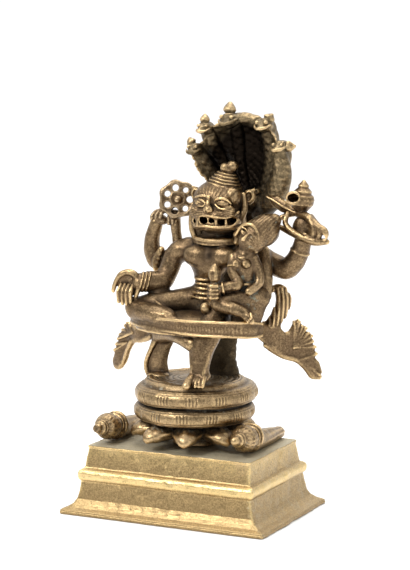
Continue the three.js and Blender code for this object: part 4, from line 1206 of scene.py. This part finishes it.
def mane(wax, fx, fz):
    """Hair at the back falls in curls to the shoulders, and fine lines run back over the brow."""
    for k in range(8):
        angle = math.radians(2 + k * 25)
        x, y = fx + 0.6 + 7.8 * math.cos(angle), 2.8 + 6.6 * math.sin(angle)
        wax.add(limb([[x, y, fz + 5], [x + 0.6 * math.cos(angle), y + 0.6 * math.sin(angle), fz - 3], [x, y - 0.4, fz - 9.5]], [1.5, 1.7, 1.2]), 0.3)
        wax.add(ball((x + 0.3 * math.cos(angle), y - 0.3, fz - 10), (1.5, 1.5, 1.2)), 0.3)

    def brow_lines(x, y, z):
        fan = np.arctan2(x - fx - 0.8, z - fz + 4)
        front = (y < 0.5) & (z > fz + 6.2) & (z < fz + 9.8)
        return 0.07 * front * np.clip(np.cos(fan * 58), -0.3, 1)

    wax.chase((fx - 9, -8, fz + 5), (fx + 10.5, 1, fz + 10.4), brow_lines)

    def whiskers(x, y, z):
        bow = z - fz - 0.6 + 0.02 * (x - fx - 1.4) ** 2
        cheek = (y < -0.4) & (np.abs(z - fz - 0.2) < 1.8) & (np.abs(x - fx - 1.4) > 2.4)
        return 0.1 * cheek * np.clip(np.cos(bow * 7.5), -0.3, 1)

    wax.chase((fx - 9, -8.6, fz - 2), (fx + 10.8, 0, fz + 2.4), whiskers)


def crown(wax):
    profile = [[0, -3.4], [7.6, -3.2], [7.5, -0.8], [6.9, 0.8], [6.5, 1.9], [5.9, 2.1], [5.8, 2.8], [5.2, 3.1], [5.1, 3.8],
               [4.5, 4.1], [4.4, 4.9], [3.8, 5.2], [3.7, 5.9], [2.6, 6.3], [2.9, 7.2], [2.8, 8.4], [1.8, 9.3], [0, 9.6]]
    wax.add(turned(profile, CROWN_FOOT, CROWN_HEAD), 0.35)
    wax.add(ball((11.7, 2.2, 126.4), (1.8, 1.7, 1.7)), 0.25)
    wax.add(ball((14.0, 3.6, 126.9), (2.2, 2.2, 2.0)), 0.25)
    foot, axis = np.array(CROWN_FOOT), unit(np.subtract(CROWN_HEAD, CROWN_FOOT))

    def twist(x, y, z):
        h = (x - foot[0]) * axis[0] + (z - foot[2]) * axis[2]
        angle = np.arctan2(x - foot[0] - h * axis[0], foot[1] - y)
        wave = np.cos(h * 5.6 + 0.9 * np.sin(angle * 5))
        return 0.16 * np.clip(wave, -0.3, 1) * ((h > 1.4) & (h < 6.4))

    wax.chase((3, -4, 117), (20, 11, 129.5), twist)


lion_head()

# %% [markdown]
# ## Discus and conch
# The raised left hand holds a pierced discus with a boss and a ring of holes, cast a little crooked. The
# raised right hand is a cluster of long looped fingers round a conch, with a pointed leaf beside it.

# %% Discus hand
DISCUS = (-10.1, 8, 113.6)
DISCUS_RADIUS = 7.1
DISCUS_TURN = 20
DISCUS_LEAN = -12
DISCUS_HOLES = 7


def discus_form():
    turn = np.array(Euler((math.radians(DISCUS_LEAN), 0, math.radians(DISCUS_TURN)), "XYZ").to_matrix(), float)
    centre = np.array(DISCUS)

    def distance(x, y, z):
        dx, dy, dz = x - centre[0], y - centre[1], z - centre[2]
        u, n, v = (turn[0, k] * dx + turn[1, k] * dy + turn[2, k] * dz for k in range(3))
        r = np.sqrt(u * u + v * v)
        angle = np.arctan2(v, u)
        rim = r - DISCUS_RADIUS - 0.32 * np.cos(7 * angle) - 0.12 * np.cos(3 * angle)
        face = np.abs(n) - 1.1 - 0.3 * np.exp(-(((r - 6.2) / 0.7) ** 2)) - 0.25 * np.exp(-(((r - 2.6) / 0.6) ** 2))
        solid = -soft_least(-rim, -face, 0.7)
        step = 2 * np.pi / DISCUS_HOLES
        near = (angle + step / 2) % step - step / 2
        hole = np.sqrt((r * np.cos(near) - 4.4) ** 2 + (r * np.sin(near)) ** 2 * 1.1) - 1.2 - 0.15 * np.cos(3 * angle)
        return -soft_least(-solid, hole, 0.4)

    return centre - 8.4, centre + 8.4, distance


def discus_hand():
    wax = Wax((-22.6, 0, 99.6), (-0.8, 14, 123), 0.22 * QUICK, whole)
    wax.add(discus_form(), 0.2)
    wax.add(ball((DISCUS[0] + 0.4, DISCUS[1] - 0.6, DISCUS[2]), (1.7, 2.1, 1.7)), 0.3)
    wax.add(ball((-16.6, 6.4, 106.0), (2.9, 2.4, 2.0), (0, 10, 0)), 0.6)
    wax.add(limb([[-18.9, 6.6, 101.8], [-18.2, 6.4, 104.6]], [2.3, 2.2]), 0.6)
    for i in range(3):
        at = np.array([-18.6 + i * 1.7, 5.0, 107.4 + i * 0.25])
        wax.add(limb([at + [-0.6, 1.2, -2.4], at + [-0.5, -0.4, -0.6], at + [0.4, 0.4, 1.2], at + [1.6, 2, 2.0]], [0.85, 0.9, 0.85, 0.7]), 0.2)
    wax.add(limb([[-11.3, 8.2, 104], [-11.6, 8.4, 107.6]], [1.9, 2.1]), 0.6)
    for i in range(2):
        wax.add(limb([[-13.2 + i * 1.6, 6.6, 104.8], [-13 + i * 1.6, 6.0, 107.2]], [0.8, 0.7]), 0.3)
    return cast("discus_hand", wax, 50000)


discus_hand()


# %% Conch hand
def conch_hand():
    wax = Wax((24.8, -1.6, 98.6), (54, 12.2, 124.6), 0.22 * QUICK, whole)
    wax.add(ball((40.6, 6.2, 105.6), (4.0, 2.6, 4.6)), 0.5)
    wax.add(limb([[40.4, 6.1, 100], [41, 6, 103]], [3.1, 3.1]), 0.8)
    lip = [[31.2, 5, 106], [36, 3.6, 104.6], [41.4, 2, 103.2], [47, 1.6, 101.6], [51.4, 2.4, 101.6]]
    wax.add(limb(lip, [0.8, 1.2, 1.7, 1.6, 1.0]), 0.4)
    for i in range(3):
        finger = [[38.6 + i * 2.6, 5.8, 110.6 - i * 0.5], [43.6 + i * 1.9, 3.2 - i * 0.4, 110.0 - i * 1.4],
                  [46.9 + i * 2.0, 1.6, 106.2 - i * 0.5], [45.6 + i * 2.5, 1.9, 102.2 + i * 0.1]]
        wax.add(limb(finger, [1.25, 1.35, 1.3, 0.95]), 0.2)
    loop = [[35.4, 4.2, 110.8], [35.2, 2.8, 107.6], [38.2, 1.8, 104.9], [43, 0.9, 102.8]]
    wax.add(limb(loop, [0.9, 1.0, 1.1, 0.9]), 0.25)
    wax.cut(limb([[38.8, 1.4, 108.8], [41.2, 1.2, 106.2], [43.4, 1.0, 104.0]], [1.1, 1.3, 0.8]), 0.2)
    wax.cut(ball((50.4, 1.2, 103.4), (0.8, 2.2, 0.8)), 0.15)
    wax.add(limb([[29.4, 5, 107], [33, 6, 109.4], [38, 6, 111]], [1.1, 1.0, 1.3]), 0.3)
    leaf = [[26.2, 7, 116.4], [29.4, 6.6, 115], [33, 6.2, 113], [37.6, 6, 111.4]]
    wax.add(limb(leaf, [0.35, 2.1, 2.3, 0.9], 0.42, (0.5, 0, 1)), 0.3)
    vein = [[26.4, 6.0, 116.2], [30, 5.4, 114.8], [34, 5.2, 112.6], [37.6, 5.2, 111.2]]
    wax.add(limb(vein, [0.2, 0.45, 0.5, 0.4]), 0.3)
    conch(wax)
    return cast("conch_hand", wax, 60000)


def conch(wax):
    foot, head = (40, 6, 111.0), (40.9, 6.2, 123.2)
    profile = [[0, 0], [1.5, 0.1], [2.4, 1.2], [4.0, 3.0], [4.3, 4.8], [3.9, 6.2], [3.0, 6.9], [3.2, 7.8], [2.4, 8.6],
               [1.8, 9.1], [2.0, 9.8], [1.2, 10.8], [0.5, 11.6], [0, 12.1]]
    wax.add(turned(profile, foot, head), 0.3)
    wax.add(ball((38.3, 3.7, 116.4), (3.1, 2.3, 2.7)), 0.3)
    wax.cut(ball((38.4, 1.4, 116.7), (2.2, 3.2, 1.7)), 0.25)
    wax.cut(ball((38.7, 3.0, 116.9), (1.9, 2.6, 1.5)), 0.2)
    rim = [(38.4 + 2.5 * math.cos(t), 2.3 + 0.25 * math.cos(t), 116.5 + 2.1 * math.sin(t)) for t in np.linspace(0, 2 * np.pi, 13)]
    wax.add(limb(rim, [0.5] * 13, steps=24), 0.2)


conch_hand()

# %% [markdown]
# ## The consort
# She sits on the god's left thigh and leans her head outward, with smooth hair drawn into a knot, and
# holds up a lotus bud. Her face is small, calm and simple: lids, nose and mouth are a few soft marks.


# %% The consort
LEAN = (-10, 34, 0)
FACE_MIDDLE = np.array([24.9, -6.0, 102.6])
HEAD_TURN = Euler([math.radians(a) for a in LEAN]).to_matrix()


def on_face(across, out, up):
    """A place on her face: across to the viewer's right, outward and up along the leaning head."""
    return FACE_MIDDLE + np.array(HEAD_TURN, float) @ np.array([across, -out, up])


def her_head(wax):
    wax.add(ball((26.6, -4, 103.2), (5.3, 5.2, 7.3), LEAN), 0.5)
    wax.add(ball((28.9, -1.6, 105), (5.6, 5.2, 6.2), LEAN), 0.5)
    wax.add(ball((32.2, 0, 108.6), (2.6, 2.6, 2.3), LEAN), 0.4)
    wax.add(limb([[30.6, 1, 108], [29.6, 4, 107]], [1.5, 1.5]), 0.4)
    hairline = [on_face(a, o, u) for a, o, u in ((-4.4, 0.4, -2), (-3.8, 2.2, 2.2), (-1.6, 3.0, 4.6), (1.2, 3.1, 4.6), (3.8, 2.0, 2.2), (4.6, 0.2, -2))]
    wax.add(limb(hairline, [0.5, 0.6, 0.6, 0.6, 0.6, 0.5]), 0.3)
    for side in (-1, 1):
        lid = [on_face(side * 1.9 + d, 3.55 - abs(side * 1.9 + d) * 0.12, 1.0 - d * d * 0.25) for d in (-1, 0, 1)]
        wax.add(ball(on_face(side * 1.9, 2.75, 0.75), (1.15, 0.8, 0.75), LEAN), 0.3)
        wax.cut(limb([p - [0, 0, 0.35] for p in lid], [0.12, 0.2, 0.12]), 0.12)
        brow = [on_face(side * 1.9 + d, 3.3 - abs(side * 1.9 + d) * 0.1, 2.3 - d * d * 0.16) for d in (-1.4, 0, 1.4)]
        wax.add(limb(brow, [0.2, 0.3, 0.2]), 0.3)
        ring = on_face(side * 4.5, -0.6, -2.0)
        wax.add(ball(ring, (1.1, 1.1, 1.3)), 0.2)
    wax.add(limb([on_face(0, 3.0, 1.6), on_face(0, 3.9, -0.2), on_face(0, 4.2, -0.9)], [0.45, 0.6, 0.75]), 0.4)
    wax.add(limb([on_face(-1.0, 3.4, -2.6), on_face(0, 3.9, -2.6), on_face(1.0, 3.4, -2.6)], [0.3, 0.5, 0.3]), 0.3)
    wax.add(limb([on_face(-0.8, 3.3, -3.3), on_face(0, 3.7, -3.4), on_face(0.8, 3.3, -3.3)], [0.3, 0.45, 0.3]), 0.25)
    wax.add(ball(on_face(0, 2.4, -4.7), (1.3, 1.1, 1.0), LEAN), 0.5)

    def combed(x, y, z):
        u = (x - 29) * 0.83 - (z - 105) * 0.56
        hair = (x - FACE_MIDDLE[0]) * 0.56 + (z - FACE_MIDDLE[2]) * 0.83 + (y + 6) * 0.75
        return 0.08 * (hair > 4.6) * np.clip(np.cos(u * 5.5), -0.3, 1)

    wax.chase((22, -9, 100), (36, 6, 112), combed)


def her_body(wax):
    wax.add(ball((23.6, -3, 81.4), (6.4, 5.4, 4.2)), 0.6)
    wax.add(limb([[23.6, -4, 82], [23, -5, 87], [22.8, -5.4, 92], [23, -5.2, 95.6]], [4.5, 3.5, 4.5, 4.1], 0.8, (1, 0, 0)), 1.0)
    wax.add(limb([[23.2, -5, 95], [24.4, -4.8, 99]], [2.4, 2.5]), 0.8)
    for centre in ((21.1, -8.4, 93.2), (24.9, -8.1, 93.5)):
        wax.add(ball(centre, (1.8, 1.7, 1.8)), 0.4)
        wax.add(ball(np.array(centre) + [-0.1, -1.6, 0], (0.5, 0.5, 0.5)), 0.2)
    wax.add(limb([[20.6, -7, 97], [22.4, -8.4, 95.6], [24.4, -8.2, 95.6], [26, -6.4, 97]], [0.45] * 4), 0.2)
    ring_round(wax, (23.3, -4.8, 86.2), (0, 0, 1), (4.0, 3.3), 0.5, (1, 0, 0))
    wax.add(limb([[27.4, -2, 80.8], [22, -8, 80.4], [16.4, -11.4, 79.6]], [4, 3.8, 3.3]), 1.0)
    wax.add(limb([[16.6, -11.8, 78.8], [22, -12.6, 78], [25.6, -12.2, 76.8]], [2.9, 2.5, 2]), 0.8)
    wax.add(limb([[24.6, -12, 77.2], [27.4, -12.8, 75.4], [29.2, -13, 73.9]], [1.8, 1.7, 1.3], 0.8), 0.5)
    for k in range(4):
        x, z = 27.9 + k * 0.5, 73.6 + k * 0.62
        wax.add(limb([[x - 0.4, -13.2, z + 1.2], [x + 0.5, -14.2, z]], [0.5, 0.42]), 0.15)
    wax.add(limb([[24, -3, 78], [23, -6, 70]], [6, 5]), 1.0)


def her_arms(wax):
    wax.add(limb([[19.4, -6.6, 95.4], [19.8, -8.6, 91], [22.6, -9.8, 86.4], [19.6, -12.4, 85.6], [16, -13.8, 84.8]],
                 [2, 1.8, 1.9, 1.8, 1.6]), 0.8)
    ring_round(wax, (19.9, -8.2, 92.2), (0.1, -0.4, -1), (2.0, 2.0), 0.35)
    ring_round(wax, (18.2, -13.0, 85.2), (-0.9, -0.4, -0.2), (1.95, 1.95), 0.45)
    wax.add(limb([[26.4, -5, 95.2], [28.2, -4.4, 90.6], [28.6, -5.6, 86.4], [26.4, -8.8, 83.8]], [1.9, 1.8, 1.7, 1.5]), 0.6)
    wax.add(ball((15.4, -14, 84.2), (2.6, 2.4, 3.3)), 0.4)
    for k in range(4):
        wax.add(limb([[13.3, -14.8, 86.2 - k * 1.35], [15.2, -16.6, 86.0 - k * 1.35], [17.2, -15.6, 86.0 - k * 1.35]], [0.6, 0.72, 0.6]), 0.15)
    bud = [[0, -0.8], [1.1, -0.5], [1.3, 0.4], [2.0, 1.6], [2.35, 3.2], [2.1, 4.8], [1.2, 6.3], [0.4, 7.0], [0, 7.2]]
    wax.add(turned(bud, (15.5, -14, 86.6)), 0.25)

    def sepals(x, y, z):
        angle = np.arctan2(x - 15.5, -14 - y)
        return 0.2 * (z > 88) * np.clip(np.cos(angle * 5), -0.4, 0.6) * np.clip((93.4 - z) / 3, 0, 1)

    wax.chase((12.6, -17, 88), (18.4, -11, 94), sepals)


def consort():
    wax = Wax((11, -19, 68.6), (37, 7, 113), 0.24 * QUICK, whole)
    her_body(wax)
    her_arms(wax)
    her_head(wax)
    return cast("consort", wax, 110000)


consort()

# %% [markdown]
# ## Shade kept on the metal
# Once the whole object stands in the coarse block, each point is given `deep`: the share of metal in a
# ball of about 5 mm round it. It is near a half on an open face, less on a limb and more in a fold.
# The brass finish paints shade into the hollows from it.

# %% Shade
near_full = whole.fullness(1.6)
wide_full = whole.fullness(3.6)
for piece in pieces:
    spots = points_of(piece.data)
    keep_number(piece.data, "deep", whole.sample(near_full, spots) * 0.5 + whole.sample(wide_full, spots) * 0.5)

# %% [markdown]
# ## Brass
# Old brass is brown where nothing touches it, golden where cloth and fingers rub it, and powdery grey or
# green where water and incense left a crust. Painted shade makes it nearly black in hollows, folds and the
# hood's cup, with dirt in the grooves, and a pinkish painted highlight lies on some rubbed places. One
# function mixes these from the kept numbers and from noise, and each piece of the figure gets its own share of crust.


# %% The brass finish
def brass(name, gold, brown, dark, crust_share, crust_colour, rub_from, rub_to, dull=0.0):
    f = Finish(name)
    rub, deep, fold = f.kept("rub"), f.kept("deep"), f.kept("fold")
    cloud = f.noise(0.12, 5, 0.62)
    blotch = f.noise(0.45, 6, 0.7, 0.4)
    fine = f.noise(1.6, 6, 0.75)
    grain = f.noise(5.5, 3, 0.65)
    pits = (1 - f.cells(1.3).ramp(0.05, 0.3)) * f.noise(0.5, 3).ramp(0.46, 0.58)
    worn = (rub + (cloud - 0.5) * 0.14 + (fine - 0.5) * 0.3).ramp(rub_from, rub_to)
    # Painted shade: the colour darkens where much metal lies round a point, in hollows and between parts.
    shade = (deep + (blotch - 0.5) * 0.14).ramp(0.40, 0.74)
    # Dirt and painted shade: grooves and creases between forms are darkened from fold.
    groove = (fold + (fine - 0.5) * 0.12).ramp(0.53, 0.74)
    crust = ((blotch * 0.6 + cloud * 0.4) + deep * 0.25 - rub * 0.2).ramp(0.66 - crust_share * 0.3, 0.74 - crust_share * 0.3)
    powder = (f.kept("powder") + (fine - 0.5) * 0.9 + (blotch - 0.5) * 0.9).ramp(0.42, 0.78)
    crust = (crust * (fine * 1.5).least(1)).most(powder * 0.75)
    body = f.colours(fine.ramp(0.38, 0.62), [c * 0.6 for c in brown[:3]] + [1], brown)
    body = f.colours(worn, body, gold)
    # Painted highlight: a pinkish tint over patches of the rubbed metal.
    body = f.colours(cloud.ramp(0.5, 0.75) * worn * 0.3, body, (0.55, 0.37, 0.29, 1))
    body = f.colours(crust, body, crust_colour)
    # Painted shade: the dark colour is laid over hollows, over grooves and creases (dirt and painted shade together),
    # and over the hood's cup and the neck.
    body = f.colours((shade * (1 - powder * 0.8) * 0.8).most(groove * 0.9).most(f.kept("painted_hood_shade")), body, dark)
    body = f.colours(pits * 0.8, body, dark)
    rough = 0.36 + dull + (fine - 0.5) * 0.4 + shade * 0.2 + crust * 0.35 - worn * 0.06
    height = fine * 0.5 + grain * 0.3 - pits * 0.8 + crust * 0.4
    bump = f.node("ShaderNodeBump", {}, {"Height": height, "Strength": 0.4, "Distance": 0.0003})
    shader = {
        "Base Color": body,
        "Roughness": rough,
        "Metallic": 1 - crust * 0.85 - shade * 0.2,
        "Normal": bump.out("Normal"),
    }
    f.fill(f.shader.node, shader)
    return f.material


GOLD = (0.70, 0.495, 0.25, 1)
BROWN = (0.18, 0.118, 0.065, 1)
DARK = (0.014, 0.010, 0.007, 1)
CREAM = (0.44, 0.41, 0.31, 1)
GREEN = (0.30, 0.33, 0.25, 1)

FINISHES = {
    "plinth_body": brass("plinth_brass", (0.80, 0.59, 0.27, 1), (0.46, 0.32, 0.15, 1), DARK, 0.1, CREAM, 0.40, 0.62),
    "left_bar": brass("bar_brass", GOLD, (0.26, 0.18, 0.10, 1), DARK, 0.25, CREAM, 0.47, 0.70),
    "lotus_and_coils": brass("coil_brass", GOLD, (0.24, 0.165, 0.09, 1), DARK, 0.3, CREAM, 0.46, 0.70),
    "neck_and_hood": brass("hood_brass", (0.62, 0.45, 0.24, 1), (0.2, 0.15, 0.085, 1), DARK, 0.2, (0.2, 0.19, 0.12, 1), 0.5, 0.72, 0.1),
    "seat_and_sash": brass("sash_brass", GOLD, BROWN, DARK, 0.12, CREAM, 0.48, 0.72),
    "god_body": brass("body_brass", GOLD, BROWN, DARK, 0.12, GREEN, 0.49, 0.74),
    "lion_head": brass("lion_brass", GOLD, BROWN, DARK, 0.05, CREAM, 0.48, 0.72),
    "discus_hand": brass("discus_brass", (0.66, 0.5, 0.3, 1), BROWN, DARK, 0.2, CREAM, 0.50, 0.76),
    "conch_hand": brass("conch_brass", GOLD, BROWN, DARK, 0.08, CREAM, 0.48, 0.72),
    "consort": brass("consort_brass", GOLD, BROWN, DARK, 0.3, GREEN, 0.49, 0.74),
}
FINISHES["right_bar"] = FINISHES["left_bar"]
for piece in pieces:
    piece.data.materials.clear()
    piece.data.materials.append(FINISHES[piece.name])
print("pieces", len(pieces), "triangles", sum(sum(len(p.vertices) - 2 for p in piece.data.polygons) for piece in pieces))

# %% [markdown]
# ## Floor and light
# A studio: a wide pale floor, a room that is bright behind and above the figure and dim in front,
# and three large soft lamps. The key lamp hangs high on the left in front, so the hollows stay dark.

# %% Floor and light
floor_mesh = bpy.data.meshes.new("floor")
REACH = 60.0
floor_mesh.from_pydata([(-REACH, -REACH, 0), (REACH, -REACH, 0), (REACH, REACH, 0), (-REACH, REACH, 0)], [], [(0, 1, 2, 3)])
floor = bpy.data.objects.new("floor", floor_mesh)
bpy.context.scene.collection.objects.link(floor)
pale = Finish("pale_floor")
pale.fill(pale.shader.node, {"Base Color": (0.9, 0.9, 0.9, 1), "Roughness": 0.7})
floor_mesh.materials.append(pale.material)

world = bpy.data.worlds.new("studio")
world.use_nodes = True
bpy.context.scene.world = world
sky = Nodes(world.node_tree)
way = sky.node("ShaderNodeSeparateXYZ", {}, {"Vector": sky.node("ShaderNodeTexCoord").out("Generated")})
behind = (way.out("X") * -0.438 + way.out("Y") * 0.899).ramp(-0.2, 0.5)
above = way.out("Z").ramp(0.3, 0.9)
glow = sky.node("ShaderNodeCombineColor", {}, {c: behind * 0.8 + above * 0.95 + 0.25 for c in ("Red", "Green", "Blue")})
sky.fill(world.node_tree.nodes["Background"], {"Color": glow.out(0), "Strength": 1.0})
bpy.context.scene.view_settings.view_transform = "Standard"


def lamp(name, at, towards, size, watts):
    data = bpy.data.lights.new(name, "AREA")
    data.shape = "DISK"
    data.size = size
    data.energy = watts
    made = bpy.data.objects.new(name, data)
    made.location = at
    made.rotation_euler = (Vector(towards) - Vector(at)).to_track_quat("-Z", "Y").to_euler()
    bpy.context.scene.collection.objects.link(made)
    return made


lamp("key", (-0.35, -0.75, 0.75), (0, 0, 0.08), 0.35, 6.5)
lamp("fill", (0.9, -0.35, 0.35), (0, 0, 0.08), 0.5, 1.5)
lamp("top", (0.0, 0.15, 0.9), (0, 0, 0.1), 0.5, 3)
